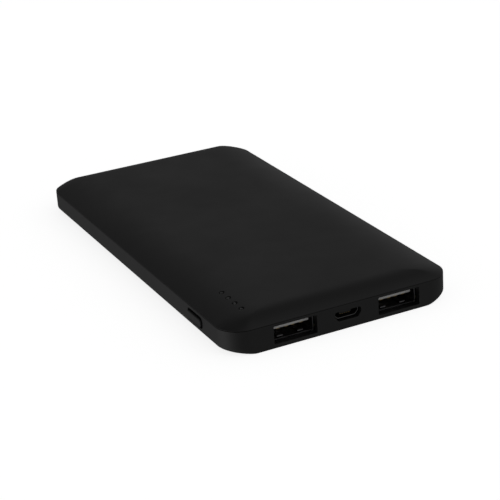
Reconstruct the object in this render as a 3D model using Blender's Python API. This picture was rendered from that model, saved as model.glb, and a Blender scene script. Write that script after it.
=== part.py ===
"""Slim power bank with two USB-A outlets and one micro-USB inlet, as an assembly of separate parts.

Frame: +X across the bank, +Y along it away from the sockets, +Z up.
The origin is the middle of the flat underside. All lengths are in metres.
"""

import math

import bmesh
import bpy
from mathutils import Vector

MM = 0.001

# Whole case
WIDTH = 70.0 * MM
LENGTH = 136.0 * MM
HEIGHT = 10.4 * MM
PLAN_RADIUS = 7.4 * MM
SMALLEST_CORNER = 0.2 * MM
CORNER_STEPS = 8

# Split between the tray and the lid
SEAM_HEIGHT = 7.25 * MM
SEAM_GAP = 0.3 * MM
FIT_GAP = 0.2 * MM
TOUCH_GAP = 0.3 * MM
CUT_PAST = 1.0 * MM

# Tray
WALL = 1.9 * MM
FLOOR = 1.2 * MM
POCKET_FLOOR = 0.6 * MM
UNDERSIDE_ROUND_AT_SIDES = 6.9 * MM
UNDERSIDE_ROUND_AT_ENDS = 0.25 * MM
UNDERSIDE_ROUND_HEIGHT = 2.36 * MM
INNER_ROUND = 1.8 * MM
ROUND_STEPS = 5

# Lid
CROWN_AT_SIDES = 13.4 * MM
CROWN_AT_ENDS = 6.3 * MM
CROWN_POWER = 2.55
CROWN_STATIONS = (0.0, 0.05, 0.12, 0.22, 0.36, 0.58, 1.0)
SKIRT = 1.0 * MM
SKIRT_BOTTOM = 6.0 * MM
SKIRT_NOTCH_DEPTH = 2.5 * MM
SKIRT_NOTCH_TOP = 7.0 * MM
LID_SHOULDER = 8.0 * MM
CEILING_SLOPE_INSET = 6.1 * MM
CEILING_SLOPE_HEIGHT = 8.75 * MM
CEILING_INSET = 9.8 * MM
LID_CEILING = 8.9 * MM

# Snap tabs of the lid, in pockets of the tray's wall
SNAP_Y = (-28.0 * MM, 8.0 * MM, 44.0 * MM)
SNAP_LENGTH = 6.0 * MM
SNAP_REACH = 0.6 * MM
SNAP_LOW = 6.1 * MM
SNAP_HIGH = 6.7 * MM

# Sockets in the front wall
PORT_GROUP_X = 1.3 * MM
USB_A_SPACING = 16.05 * MM
USB_A_X = {"left": PORT_GROUP_X - USB_A_SPACING, "right": PORT_GROUP_X + USB_A_SPACING}
USB_A_HOLE = (13.0 * MM, 5.15 * MM)
USB_A_Z = 3.82 * MM
USB_A_INSIDE = (12.5 * MM, 5.12 * MM)
USB_A_LENGTH = 13.8 * MM
USB_A_SET_BACK = 2.4 * MM
USB_A_EAR_Y = 6.0 * MM
USB_A_EAR_LENGTH = 2.5 * MM
USB_A_EAR_REACH = 1.15 * MM
SHEET = 0.3 * MM
TONGUE = (11.1 * MM, 1.84 * MM)
TONGUE_BOTTOM = 4.05 * MM
TONGUE_SET_BACK = 3.3 * MM
TONGUE_BLOCK = 2.0 * MM
TONGUE_BLOCK_SET_BACK = 0.4 * MM
TONGUE_BLOCK_STEP = 0.1 * MM
USB_A_PINS = (-3.5 * MM, -1.0 * MM, 1.0 * MM, 3.5 * MM)
USB_A_PIN = (1.0 * MM, 0.2 * MM)
USB_A_PIN_TIP = 0.6 * MM
USB_A_PIN_BEND = 1.6 * MM
USB_A_PIN_FLAT = 3.2 * MM
USB_A_PIN_BOW = 0.25 * MM
USB_A_PIN_LEG = (0.3 * MM, 0.9 * MM, 1.9 * MM)

MICRO_TOP = 5.45 * MM
MICRO_BOTTOM = 2.7 * MM
MICRO_HOLE_WIDE = 8.0 * MM
MICRO_HOLE_NARROW = 6.0 * MM
MICRO_WALL_GAP = 0.24 * MM
MICRO_SHEET = 0.22 * MM
MICRO_SET_BACK = 1.3 * MM
MICRO_LENGTH = 5.2 * MM
MICRO_TONGUE = (3.8 * MM, 0.6 * MM)
MICRO_PIN_PITCH = 0.65 * MM
MICRO_PIN = (0.35 * MM, 0.14 * MM)
MICRO_PINS = 5
MICRO_TONGUE_DROP = 0.45 * MM
MICRO_TONGUE_SET_BACK = 0.6 * MM
MICRO_BLOCK_WIDTH = 6.4 * MM
MICRO_BLOCK_DEPTH = (0.2 * MM, 1.2 * MM)
MICRO_BLOCK_STEP = 0.1 * MM
MICRO_BLOCK_ROOF_GAP = 0.15 * MM
MICRO_PIN_TIP = 0.9 * MM
MICRO_PIN_LEG = (0.3 * MM, 0.6 * MM, 1.2 * MM)

# Circuit board
BOARD_LOW = 1.6 * MM
BOARD_HIGH = 2.6 * MM
BOARD_WIDTH = 62.0 * MM
BOARD_CORNER = 5.0 * MM
BOARD_FRONT = -65.1 * MM
BOARD_REAR = -40.5 * MM
ON_BOARD = BOARD_HIGH + FIT_GAP
BOARD_NOTCH = 14.0 * MM
BOARD_NOTCH_REAR = -51.3 * MM
POST_FRONT_Y = -62.5 * MM
POST_REAR_Y = -42.7 * MM
POST_PLACES = (
    (-25.0 * MM, POST_FRONT_Y),
    (28.0 * MM, POST_FRONT_Y),
    (-24.0 * MM, POST_REAR_Y),
    (28.0 * MM, POST_REAR_Y),
)
POST_RADIUS = 1.8 * MM
PIN_RADIUS = 0.9 * MM
PIN_HOLE_RADIUS = 1.15 * MM
PIN_TOP = 3.2 * MM

# Power button and its side-acting switch
BUTTON_Y = -47.4 * MM
BUTTON_Z = 4.6 * MM
BUTTON_HOLE = (9.6 * MM, 3.2 * MM)
BUTTON_FACE = (8.7 * MM, 2.3 * MM)
BUTTON_HOLE_RADIUS = 1.2 * MM
BUTTON_FACE_RADIUS = 0.9 * MM
BUTTON_CORNER_STEPS = 4
BUTTON_PROUD = 0.45 * MM
BUTTON_EDGE = 0.2 * MM
FLANGE_LENGTH = 11.6 * MM
FLANGE_THICKNESS = 0.8 * MM
FLANGE_STEP = 0.1 * MM
NIB = (2.4 * MM, 1.6 * MM)
NIB_END = -31.7 * MM
NIB_START = 0.2 * MM
SWITCH_FRONT = -30.6 * MM
SWITCH_REAR = -27.8 * MM
SWITCH_LENGTH = 6.0 * MM
SWITCH_TOP = 6.2 * MM
SWITCH_POCKET = (3.2 * MM, 2.8 * MM)
SWITCH_POCKET_END = -29.0 * MM
PLUNGER = (2.6 * MM, 1.4 * MM)
PLUNGER_CORNER = 0.3 * MM
PLUNGER_FRONT = -31.5 * MM
PLUNGER_REAR = -29.9 * MM
DOME_RADIUS = 1.2 * MM
DOME_FACE = -29.45 * MM
DOME_THICKNESS = 0.12 * MM
DOME_RISE = 0.15 * MM
DOME_CROWN = 0.6
DOME_CROWN_RISE = 0.3
DOME_STEPS = 4

# Charge lights
LIGHT_X = -26.5 * MM
LIGHT_MIDDLE_Y = -53.6 * MM
LIGHT_PITCH = 4.05 * MM
LIGHT_COUNT = 4
LIGHT_Y = tuple(LIGHT_MIDDLE_Y + (1.5 - i) * LIGHT_PITCH for i in range(LIGHT_COUNT))
LIGHT_HOLE_RADIUS = 0.75 * MM
LIGHT_PIP_RADIUS = 0.55 * MM
LIGHT_PIP_TOP = 10.05 * MM
GUIDE_BAR_HIGH = 8.45 * MM
GUIDE_BAR_LOW = 7.45 * MM
GUIDE_BAR_END = 1.1 * MM
GUIDE_BAR_HALF = 1.0 * MM
GUIDE_LEG_HALF = 0.6 * MM
GUIDE_OVERLAP = 0.2 * MM
GUIDE_LEG_LOW = 3.6 * MM
LED_SIZE = (0.8 * MM, 1.6 * MM, 0.6 * MM)
LED_CHAMFER = 0.1 * MM

# Battery
CELL_WIDTH = 60.0 * MM
CELL_FRONT = -31.7 * MM
CELL_REAR = 64.3 * MM
CELL_LOW = 2.0 * MM
CELL_HIGH = 7.8 * MM
CELL_CORNER = 2.0 * MM
CELL_ROUND = ((1.3 * MM, 0.0), (0.35 * MM, 0.5 * MM), (0.0, 1.6 * MM))
TERRACE_REACH = 3.6 * MM
TERRACE_NARROWER = 1.5 * MM
TERRACE_LOW = 4.6 * MM
TERRACE_HIGH = 4.9 * MM
TAB_X = 12.0 * MM
TAB_WIDTH = 5.0 * MM
TAB_LENGTH = 3.0 * MM
TAB_THICKNESS = 0.2 * MM
LEAD_RADIUS = 0.65 * MM
LEAD_ON_TAB = 1.1 * MM
LEAD_BOARD_X = 8.0 * MM
LEAD_BOARD_REACH = 4.2 * MM
LEAD_STRAIGHT = 3.6 * MM
LEAD_POINTS = 9
WELD = 0.01 * MM
ADHESIVE_LOW = (-25.0 * MM, -20.0 * MM)
ADHESIVE_HIGH = (25.0 * MM, 56.0 * MM)
FOAM_LOW = (-22.0 * MM, -16.0 * MM)
FOAM_HIGH = (22.0 * MM, 52.0 * MM)

# Ribs on the tray's floor that keep the cell in place
RIB = 0.8 * MM
RIB_TOP = 5.4 * MM
FRONT_RIB_Y = -37.1 * MM
FRONT_RIB_X = (18.0 * MM, 28.0 * MM)
SIDE_RIB_X = 30.6 * MM
SIDE_RIB_Y = (-10.0 * MM, 36.0 * MM)
SIDE_RIB_LENGTH = 16.0 * MM

# Components on the board: places are (x, y), sizes are (x, y, z)
LEAD_PITCH = 1.27 * MM
LEAD_WIDTH = 0.4 * MM
LEAD_THICKNESS = 0.2 * MM
CHIP_LIFT = 0.15 * MM
CHIP_CHAMFER = 0.12 * MM
CHIP_LEAD_PATH = (-0.2 * MM, 0.35 * MM, 0.5 * MM, 0.9 * MM)
CONTROL_CHIP = ((-14.0 * MM, -46.1 * MM), (4.9 * MM, 3.9 * MM, 1.5 * MM), 8)
PROTECTION_CHIP = ((14.0 * MM, -46.1 * MM), (3.0 * MM, 1.7 * MM, 1.1 * MM), 4)
INDUCTOR_PLACE = (1.3 * MM, -54.1 * MM)
INDUCTOR_SIZE = (6.6 * MM, 6.6 * MM, 3.0 * MM)
INDUCTOR_CHAMFER = 0.6 * MM
CAPACITOR_SIZE = (1.6 * MM, 3.2 * MM, 1.6 * MM)
CAPACITOR_CHAMFER = 0.12 * MM
CAPACITOR_PLACES = (
    (-6.0 * MM, -47.5 * MM),
    (-2.6 * MM, -47.5 * MM),
    (21.0 * MM, -46.0 * MM),
    (24.4 * MM, -46.0 * MM),
)
RESISTOR_SIZE = (0.8 * MM, 1.6 * MM, 0.5 * MM)
RESISTOR_CHAMFER = 0.06 * MM
RESISTOR_PLACES = (
    (2.0 * MM, -47.5 * MM),
    (4.4 * MM, -47.5 * MM),
    (9.6 * MM, -46.1 * MM),
    (-20.0 * MM, -46.1 * MM),
)


# --- scene ----------------------------------------------------------------------------------------

def clear_scene():
    for obj in list(bpy.data.objects):
        bpy.data.objects.remove(obj, do_unlink=True)


def new_collection(name):
    collection = bpy.data.collections.new(name)
    bpy.context.scene.collection.children.link(collection)
    return collection


def principled(name, colour, roughness, metallic):
    material = bpy.data.materials.new(name)
    material.use_nodes = True
    shader = material.node_tree.nodes["Principled BSDF"]
    shader.inputs["Base Color"].default_value = (*colour, 1.0)
    shader.inputs["Roughness"].default_value = roughness
    shader.inputs["Metallic"].default_value = metallic
    return material


FINISHES = {
    "case": ((0.010, 0.010, 0.011), 0.50, 0.0),
    "steel": ((0.62, 0.62, 0.64), 0.30, 1.0),
    "white_plastic": ((0.78, 0.78, 0.76), 0.45, 0.0),
    "black_plastic": ((0.02, 0.02, 0.02), 0.45, 0.0),
    "gold": ((0.83, 0.62, 0.28), 0.30, 1.0),
    "board": ((0.02, 0.13, 0.06), 0.45, 0.0),
    "clear_plastic": ((0.85, 0.90, 0.92), 0.15, 0.0),
    "led": ((0.90, 0.88, 0.70), 0.35, 0.0),
    "ceramic": ((0.55, 0.40, 0.27), 0.50, 0.0),
    "ferrite": ((0.10, 0.10, 0.11), 0.65, 0.0),
    "pouch": ((0.70, 0.71, 0.73), 0.35, 1.0),
    "nickel": ((0.70, 0.68, 0.62), 0.30, 1.0),
    "red_wire": ((0.55, 0.02, 0.02), 0.45, 0.0),
    "black_wire": ((0.02, 0.02, 0.02), 0.45, 0.0),
    "amber_tape": ((0.70, 0.40, 0.05), 0.35, 0.0),
    "foam": ((0.06, 0.06, 0.06), 0.90, 0.0),
    "adhesive": ((0.85, 0.85, 0.82), 0.70, 0.0),
}

SMOOTH_ANGLE = math.radians(35)


class Workshop:
    """The two collections that hold the parts and their cutters."""

    def __init__(self):
        self.parts = new_collection("power_bank")
        self.cutters = new_collection("cutters")
        self.cutter_count = 0

    def part(self, name, mesh, finish, location=(0.0, 0.0, 0.0)):
        obj = bpy.data.objects.new(name, mesh)
        obj.location = location
        mesh.materials.append(principled(name, *FINISHES[finish]))
        mesh.shade_smooth()
        mesh.set_sharp_from_angle(angle=SMOOTH_ANGLE)
        self.parts.objects.link(obj)
        return obj

    def helper(self, mesh):
        self.cutter_count += 1
        obj = bpy.data.objects.new(f"cutter_{self.cutter_count:02d}", mesh)
        obj.hide_render = True
        obj.display_type = "WIRE"
        self.cutters.objects.link(obj)
        return obj

    def change(self, target, operation, mesh):
        modifier = target.modifiers.new(operation.lower(), "BOOLEAN")
        modifier.operation = operation
        modifier.solver = "EXACT"
        modifier.object = self.helper(mesh)

    def cut(self, target, mesh):
        self.change(target, "DIFFERENCE", mesh)

    def join(self, target, mesh):
        self.change(target, "UNION", mesh)


# --- shapes ---------------------------------------------------------------------------------------

def finished(bm, name):
    bmesh.ops.recalc_face_normals(bm, faces=bm.faces)
    mesh = bpy.data.meshes.new(name)
    bm.to_mesh(mesh)
    bm.free()
    return mesh


def cube_between(low, high):
    low = Vector(low)
    high = Vector(high)
    bm = bmesh.new()
    bmesh.ops.create_cube(bm, size=1.0)
    bmesh.ops.scale(bm, vec=high - low, verts=bm.verts)
    bmesh.ops.translate(bm, vec=(low + high) / 2, verts=bm.verts)
    return bm


def block(low, high):
    """A box between two opposite corners."""
    return finished(cube_between(low, high), "block")


def column(x, y, radius, low, high, steps=16):
    """An upright cylinder."""
    bm = bmesh.new()
    size = {"radius1": radius, "radius2": radius, "depth": high - low}
    bmesh.ops.create_cone(bm, cap_ends=True, segments=steps, **size)
    bmesh.ops.translate(bm, vec=(x, y, (low + high) / 2), verts=bm.verts)
    return finished(bm, "column")


def rounded_outline(half_x, half_y, radii, steps):
    """Points round a rectangle with elliptical corners, anticlockwise."""
    points = []
    for quarter in range(4):
        sign_x = 1 if quarter in (0, 3) else -1
        sign_y = 1 if quarter in (0, 1) else -1
        for step in range(steps + 1):
            angle = math.pi / 2 * (quarter + step / steps)
            x = sign_x * (half_x - radii[0]) + radii[0] * math.cos(angle)
            y = sign_y * (half_y - radii[1]) + radii[1] * math.sin(angle)
            points.append((x, y))
    return points


def evenly(stations):
    """Stations with the same inset at the sides and at the ends, from pairs of an inset and a height."""
    return [(inset, inset, height) for inset, height in stations]


def lofted(sections, width, length, radius, middle_y=0.0, steps=CORNER_STEPS):
    """A solid through level rounded rectangles, from stations of inset at the sides, at the ends, and height."""
    bm = bmesh.new()
    rings = []
    for inset_x, inset_y, height in sections:
        corner = (max(radius - inset_x, SMALLEST_CORNER), max(radius - inset_y, SMALLEST_CORNER))
        outline = rounded_outline(width / 2 - inset_x, length / 2 - inset_y, corner, steps)
        rings.append([bm.verts.new((x, y + middle_y, height)) for x, y in outline])
    return skinned(bm, rings)


def skinned(bm, rings):
    """Faces between each ring of vertices and the next, with the first and the last ring closed."""
    for ring, following in zip(rings, rings[1:]):
        for i in range(len(ring)):
            j = (i + 1) % len(ring)
            bm.faces.new((ring[i], ring[j], following[j], following[i]))
    bm.faces.new(rings[0])
    bm.faces.new(rings[-1])
    return finished(bm, "loft")


def bar_along_x(outline, x_low, x_high):
    """A prism along X whose cross-section is a list of (y, z)."""
    return prism([Vector((x_low, y, z)) for y, z in outline], Vector((x_high - x_low, 0, 0)))


def bar_along_y(outline, y_low, y_high):
    """A prism along Y whose cross-section is a list of (x, z)."""
    return prism([Vector((x, y_low, z)) for x, z in outline], Vector((0, y_high - y_low, 0)))


def prism(points, along):
    bm = bmesh.new()
    face = bm.faces.new([bm.verts.new(point) for point in points])
    extruded = bmesh.ops.extrude_face_region(bm, geom=[face])
    moved = [item for item in extruded["geom"] if isinstance(item, bmesh.types.BMVert)]
    bmesh.ops.translate(bm, vec=along, verts=moved)
    return finished(bm, "prism")


def rounded_bar_along_x(middle, size, radius, x_low, x_high, steps=4):
    outline = rounded_outline(size[0] / 2, size[1] / 2, (radius, radius), steps)
    return bar_along_x([(y + middle[0], z + middle[1]) for y, z in outline], x_low, x_high)


def bent_strip(path, thickness):
    """The side view of a bent metal strip, as an outline round a path of (along, up) points."""
    upper = []
    lower = []
    for i, point in enumerate(path):
        before = Vector(path[max(i - 1, 0)])
        after = Vector(path[min(i + 1, len(path) - 1)])
        here = Vector(point)
        side = (after - before).normalized().orthogonal() * thickness / 2
        upper.append(tuple(here + side))
        lower.append(tuple(here - side))
    return upper + lower[::-1]


def chamfered_box(middle, size, chamfer):
    """A box with its upright and top edges bevelled, standing on middle."""
    low = Vector((middle[0] - size[0] / 2, middle[1] - size[1] / 2, middle[2]))
    bm = cube_between(low, low + Vector(size))
    kept = [edge for edge in bm.edges if any(vert.co.z > low.z + size[2] / 2 for vert in edge.verts)]
    bmesh.ops.bevel(bm, geom=kept, offset=chamfer, segments=1, affect="EDGES")
    return finished(bm, "chamfered")


# --- case -----------------------------------------------------------------------------------------

def underside_round():
    """Stations up the rounded lower edge, from the flat underside to the upright wall."""
    stations = []
    for step in range(ROUND_STEPS + 1):
        angle = math.pi / 2 * step / ROUND_STEPS
        share = 1 - math.sin(angle)
        height = UNDERSIDE_ROUND_HEIGHT * (1 - math.cos(angle))
        stations.append((UNDERSIDE_ROUND_AT_SIDES * share, UNDERSIDE_ROUND_AT_ENDS * share, height))
    return stations


def inner_round():
    """Stations down the tray's inner corner, from the wall to the floor."""
    stations = []
    for step in range(ROUND_STEPS + 1):
        angle = math.pi / 2 * step / ROUND_STEPS
        inset = WALL + INNER_ROUND * (1 - math.cos(angle))
        height = FLOOR + INNER_ROUND * (1 - math.sin(angle))
        stations.append((inset, height))
    return evenly(stations)


def crown():
    """Stations down the lid's crowned top, from the flat middle to its outer edge."""
    edge_height = SEAM_HEIGHT + SEAM_GAP / 2
    rise = HEIGHT - edge_height
    stations = []
    for share in reversed(CROWN_STATIONS):
        height = edge_height + rise * (1 - (1 - share) ** CROWN_POWER)
        stations.append((CROWN_AT_SIDES * share, CROWN_AT_ENDS * share, height))
    return stations


def usb_a_box(side, size, y_low, y_high):
    x = USB_A_X[side]
    low = (x - size[0] / 2, y_low, USB_A_Z - size[1] / 2)
    high = (x + size[0] / 2, y_high, USB_A_Z + size[1] / 2)
    return block(low, high)


def micro_outline(grow):
    """The micro-USB shape with its wide side up, grown outwards from the cut-out by grow."""
    wide = MICRO_HOLE_WIDE / 2 + grow
    narrow = MICRO_HOLE_NARROW / 2 + grow
    top = MICRO_TOP + grow
    bottom = MICRO_BOTTOM - grow
    shoulder = (MICRO_TOP + MICRO_BOTTOM) / 2
    right = [(narrow, bottom), (wide, shoulder), (wide, top)]
    left = [(-x, z) for x, z in reversed(right)]
    return [(PORT_GROUP_X + x, z) for x, z in right + left]


def add_bottom_cover(shop):
    rim = SEAM_HEIGHT - SEAM_GAP / 2
    sections = underside_round() + evenly([(0.0, rim), (WALL, rim)]) + inner_round()
    cover = shop.part("bottom_cover", lofted(sections, WIDTH, LENGTH, PLAN_RADIUS), "case")
    front_outside = -LENGTH / 2 - CUT_PAST
    front_inside = -LENGTH / 2 + WALL + CUT_PAST
    for side in USB_A_X:
        shop.cut(cover, usb_a_box(side, USB_A_HOLE, front_outside, front_inside))
        shop.cut(cover, socket_pocket(side))
    shop.cut(cover, bar_along_y(micro_outline(0.0), front_outside, front_inside))
    hole_outside = -WIDTH / 2 - CUT_PAST
    hole_inside = -WIDTH / 2 + WALL + CUT_PAST
    button = (BUTTON_Y, BUTTON_Z)
    hole = rounded_bar_along_x(button, BUTTON_HOLE, BUTTON_HOLE_RADIUS, hole_outside, hole_inside)
    shop.cut(cover, hole)
    for pocket in snap_blocks(SNAP_REACH + FIT_GAP, FIT_GAP):
        shop.cut(cover, pocket)
    for x, y in POST_PLACES:
        shop.join(cover, column(x, y, POST_RADIUS, FLOOR / 2, BOARD_LOW - FIT_GAP))
        shop.join(cover, column(x, y, PIN_RADIUS, FLOOR, PIN_TOP))
    for rib in cell_ribs():
        shop.join(cover, rib)
    return cover


def socket_pocket(side):
    """The thinned patch of floor that a USB-A shell sits in."""
    half = USB_A_INSIDE[0] / 2 + SHEET + TOUCH_GAP
    x = USB_A_X[side]
    front = -LENGTH / 2 + WALL
    rear = -LENGTH / 2 + USB_A_SET_BACK + USB_A_LENGTH + TOUCH_GAP
    return block((x - half, front, POCKET_FLOOR), (x + half, rear, UNDERSIDE_ROUND_HEIGHT + FLOOR))


def snap_blocks(reach, clearance):
    """Blocks that stand out of the lid's skirt on both long sides."""
    skirt_x = WIDTH / 2 - WALL - FIT_GAP
    inside = skirt_x - SKIRT / 2
    outside = skirt_x + reach
    blocks = []
    for sign in (-1, 1):
        for y in SNAP_Y:
            x_ends = sorted((sign * inside, sign * outside))
            low = (x_ends[0], y - SNAP_LENGTH / 2 - clearance, SNAP_LOW - clearance)
            high = (x_ends[1], y + SNAP_LENGTH / 2 + clearance, SNAP_HIGH + clearance)
            blocks.append(block(low, high))
    return blocks


def cell_ribs():
    """Low walls on the floor that keep the cell in place: two in front of it and two on each side."""
    bottom = FLOOR / 2
    ribs = []
    for sign in (-1, 1):
        x_ends = sorted(sign * x for x in FRONT_RIB_X)
        ribs.append(block((x_ends[0], FRONT_RIB_Y, bottom), (x_ends[1], FRONT_RIB_Y + RIB, RIB_TOP)))
        x_ends = sorted((sign * SIDE_RIB_X, sign * (SIDE_RIB_X + RIB)))
        for y in SIDE_RIB_Y:
            ribs.append(block((x_ends[0], y, bottom), (x_ends[1], y + SIDE_RIB_LENGTH, RIB_TOP)))
    return ribs


def add_top_cover(shop):
    edge = SEAM_HEIGHT + SEAM_GAP / 2
    skirt_outside = WALL + FIT_GAP
    skirt_inside = skirt_outside + SKIRT
    inside = [
        (skirt_outside, edge),
        (skirt_outside, SKIRT_BOTTOM),
        (skirt_inside, SKIRT_BOTTOM),
        (skirt_inside, LID_SHOULDER),
        (CEILING_SLOPE_INSET, CEILING_SLOPE_HEIGHT),
        (CEILING_INSET, LID_CEILING),
    ]
    sections = crown() + evenly(inside)
    cover = shop.part("top_cover", lofted(sections, WIDTH, LENGTH, PLAN_RADIUS), "case")
    for tab in snap_blocks(SNAP_REACH, 0.0):
        shop.join(cover, tab)
    for side in USB_A_X:
        half = USB_A_INSIDE[0] / 2 + SHEET + 2 * TOUCH_GAP
        x = USB_A_X[side]
        front = -LENGTH / 2 + WALL
        low = (x - half, front, SKIRT_BOTTOM - CUT_PAST)
        high = (x + half, front + SKIRT_NOTCH_DEPTH, SKIRT_NOTCH_TOP)
        shop.cut(cover, block(low, high))
    for y in LIGHT_Y:
        drill = column(LIGHT_X, y, LIGHT_HOLE_RADIUS, LID_CEILING - CUT_PAST, HEIGHT + CUT_PAST)
        shop.cut(cover, drill)
    return cover


# --- sockets --------------------------------------------------------------------------------------

def add_usb_a(shop, side):
    """One socket. Its shell rests on the board by an ear on each side."""
    x = USB_A_X[side]
    front = -LENGTH / 2 + USB_A_SET_BACK
    rear = front + USB_A_LENGTH
    outer = (USB_A_INSIDE[0] + 2 * SHEET, USB_A_INSIDE[1] + 2 * SHEET)
    shell = shop.part(f"usb_a_{side}_shell", usb_a_box(side, outer, front, rear), "steel")
    shop.cut(shell, usb_a_box(side, USB_A_INSIDE, front - CUT_PAST, rear + CUT_PAST))
    for sign in (-1, 1):
        root = x + sign * (outer[0] / 2 - SHEET / 2)
        x_ends = sorted((root, root + sign * USB_A_EAR_REACH))
        low = (x_ends[0], front + USB_A_EAR_Y, ON_BOARD)
        high = (x_ends[1], front + USB_A_EAR_Y + USB_A_EAR_LENGTH, ON_BOARD + SHEET)
        shop.join(shell, block(low, high))
    add_usb_a_tongue(shop, side, rear)
    add_usb_a_pins(shop, side, rear)


def add_usb_a_tongue(shop, side, rear):
    """The white insulator: a tongue over the contacts, and a block that closes the shell's upper back."""
    x = USB_A_X[side]
    front = -LENGTH / 2 + TONGUE_SET_BACK
    top = TONGUE_BOTTOM + TONGUE[1]
    roof = USB_A_Z + USB_A_INSIDE[1] / 2 - FIT_GAP
    half = TONGUE[0] / 2
    low = (x - half, front, TONGUE_BOTTOM)
    tongue = shop.part(f"usb_a_{side}_tongue", block(low, (x + half, rear, top)), "white_plastic")
    half = USB_A_INSIDE[0] / 2 - FIT_GAP
    back = rear - TONGUE_BLOCK_SET_BACK
    low = (x - half, back - TONGUE_BLOCK, TONGUE_BOTTOM + TONGUE_BLOCK_STEP)
    shop.join(tongue, block(low, (x + half, back, roof)))


def add_usb_a_pins(shop, side, rear):
    """Four contact strips under the tongue, bent down behind the shell to the board."""
    strip_z = TONGUE_BOTTOM - FIT_GAP - USB_A_PIN[1] / 2
    foot_z = ON_BOARD + USB_A_PIN[1] / 2
    front = -LENGTH / 2 + TONGUE_SET_BACK
    path = [
        (front + USB_A_PIN_TIP, strip_z),
        (front + USB_A_PIN_BEND, strip_z - USB_A_PIN_BOW),
        (front + USB_A_PIN_FLAT, strip_z),
        (rear + USB_A_PIN_LEG[0], strip_z),
        (rear + USB_A_PIN_LEG[1], foot_z),
        (rear + USB_A_PIN_LEG[2], foot_z),
    ]
    outline = bent_strip(path, USB_A_PIN[1])
    for number, offset in enumerate(USB_A_PINS, 1):
        middle = USB_A_X[side] + offset
        mesh = bar_along_x(outline, middle - USB_A_PIN[0] / 2, middle + USB_A_PIN[0] / 2)
        shop.part(f"usb_a_{side}_contact_{number}", mesh, "gold")


def add_micro_usb(shop):
    front = -LENGTH / 2 + MICRO_SET_BACK
    rear = front + MICRO_LENGTH
    outside = micro_outline(-MICRO_WALL_GAP)
    shell = shop.part("micro_usb_shell", bar_along_y(outside, front, rear), "steel")
    hollow = micro_outline(-MICRO_WALL_GAP - MICRO_SHEET)
    shop.cut(shell, bar_along_y(hollow, front - CUT_PAST, rear + CUT_PAST))
    inner_top = MICRO_TOP - MICRO_WALL_GAP - MICRO_SHEET
    tongue_top = inner_top - MICRO_TONGUE_DROP
    tongue_bottom = tongue_top - MICRO_TONGUE[1]
    half = MICRO_TONGUE[0] / 2
    low = (PORT_GROUP_X - half, front + MICRO_TONGUE_SET_BACK, tongue_bottom)
    high = (PORT_GROUP_X + half, rear, tongue_top)
    tongue = shop.part("micro_usb_tongue", block(low, high), "black_plastic")
    half = MICRO_BLOCK_WIDTH / 2
    low = (PORT_GROUP_X - half, rear - MICRO_BLOCK_DEPTH[1], tongue_bottom + MICRO_BLOCK_STEP)
    high = (PORT_GROUP_X + half, rear - MICRO_BLOCK_DEPTH[0], inner_top - MICRO_BLOCK_ROOF_GAP)
    shop.join(tongue, block(low, high))
    strip_z = tongue_bottom - MICRO_BLOCK_STEP - MICRO_PIN[1] / 2
    foot_z = ON_BOARD + MICRO_PIN[1] / 2
    path = [
        (front + MICRO_PIN_TIP, strip_z),
        (rear + MICRO_PIN_LEG[0], strip_z),
        (rear + MICRO_PIN_LEG[1], foot_z),
        (rear + MICRO_PIN_LEG[2], foot_z),
    ]
    outline = bent_strip(path, MICRO_PIN[1])
    for number in range(MICRO_PINS):
        middle = PORT_GROUP_X + (number - (MICRO_PINS - 1) / 2) * MICRO_PIN_PITCH
        mesh = bar_along_x(outline, middle - MICRO_PIN[0] / 2, middle + MICRO_PIN[0] / 2)
        shop.part(f"micro_usb_contact_{number + 1}", mesh, "gold")


# --- button ---------------------------------------------------------------------------------------

def centred_on(mesh, point):
    """Moves a mesh so that its origin can sit on point."""
    for vertex in mesh.vertices:
        vertex.co -= Vector(point)
    return mesh


def add_power_button(shop):
    """The cap, its retaining flange and the nib that meets the switch. It slides along X."""
    origin = (-WIDTH / 2, BUTTON_Y, BUTTON_Z)
    outside = -WIDTH / 2 - BUTTON_PROUD
    flange_front = -WIDTH / 2 + WALL + TOUCH_GAP
    flange_rear = flange_front + FLANGE_THICKNESS
    cap = button_cap(outside, flange_rear)
    button = shop.part("power_button", centred_on(cap, origin), "case", origin)
    half_y = FLANGE_LENGTH / 2
    half_z = BUTTON_FACE[1] / 2
    low = (flange_front, BUTTON_Y - half_y, BUTTON_Z - half_z + FLANGE_STEP)
    high = (flange_rear - FLANGE_STEP, BUTTON_Y + half_y, BUTTON_Z + half_z - FLANGE_STEP)
    shop.join(button, block(low, high))
    low = (flange_front + NIB_START, BUTTON_Y - NIB[0] / 2, BUTTON_Z - NIB[1] / 2)
    shop.join(button, block(low, (NIB_END, BUTTON_Y + NIB[0] / 2, BUTTON_Z + NIB[1] / 2)))
    return button


def button_cap(outside, inside):
    """A round-cornered bar along X with its outer edge bevelled."""
    stations = ((outside, BUTTON_EDGE), (outside + BUTTON_EDGE, 0.0), (inside, 0.0))
    bm = bmesh.new()
    rings = []
    for x, inset in stations:
        radius = BUTTON_FACE_RADIUS - inset
        half_y = BUTTON_FACE[0] / 2 - inset
        half_z = BUTTON_FACE[1] / 2 - inset
        outline = rounded_outline(half_y, half_z, (radius, radius), BUTTON_CORNER_STEPS)
        rings.append([bm.verts.new((x, y + BUTTON_Y, z + BUTTON_Z)) for y, z in outline])
    return skinned(bm, rings)


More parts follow.
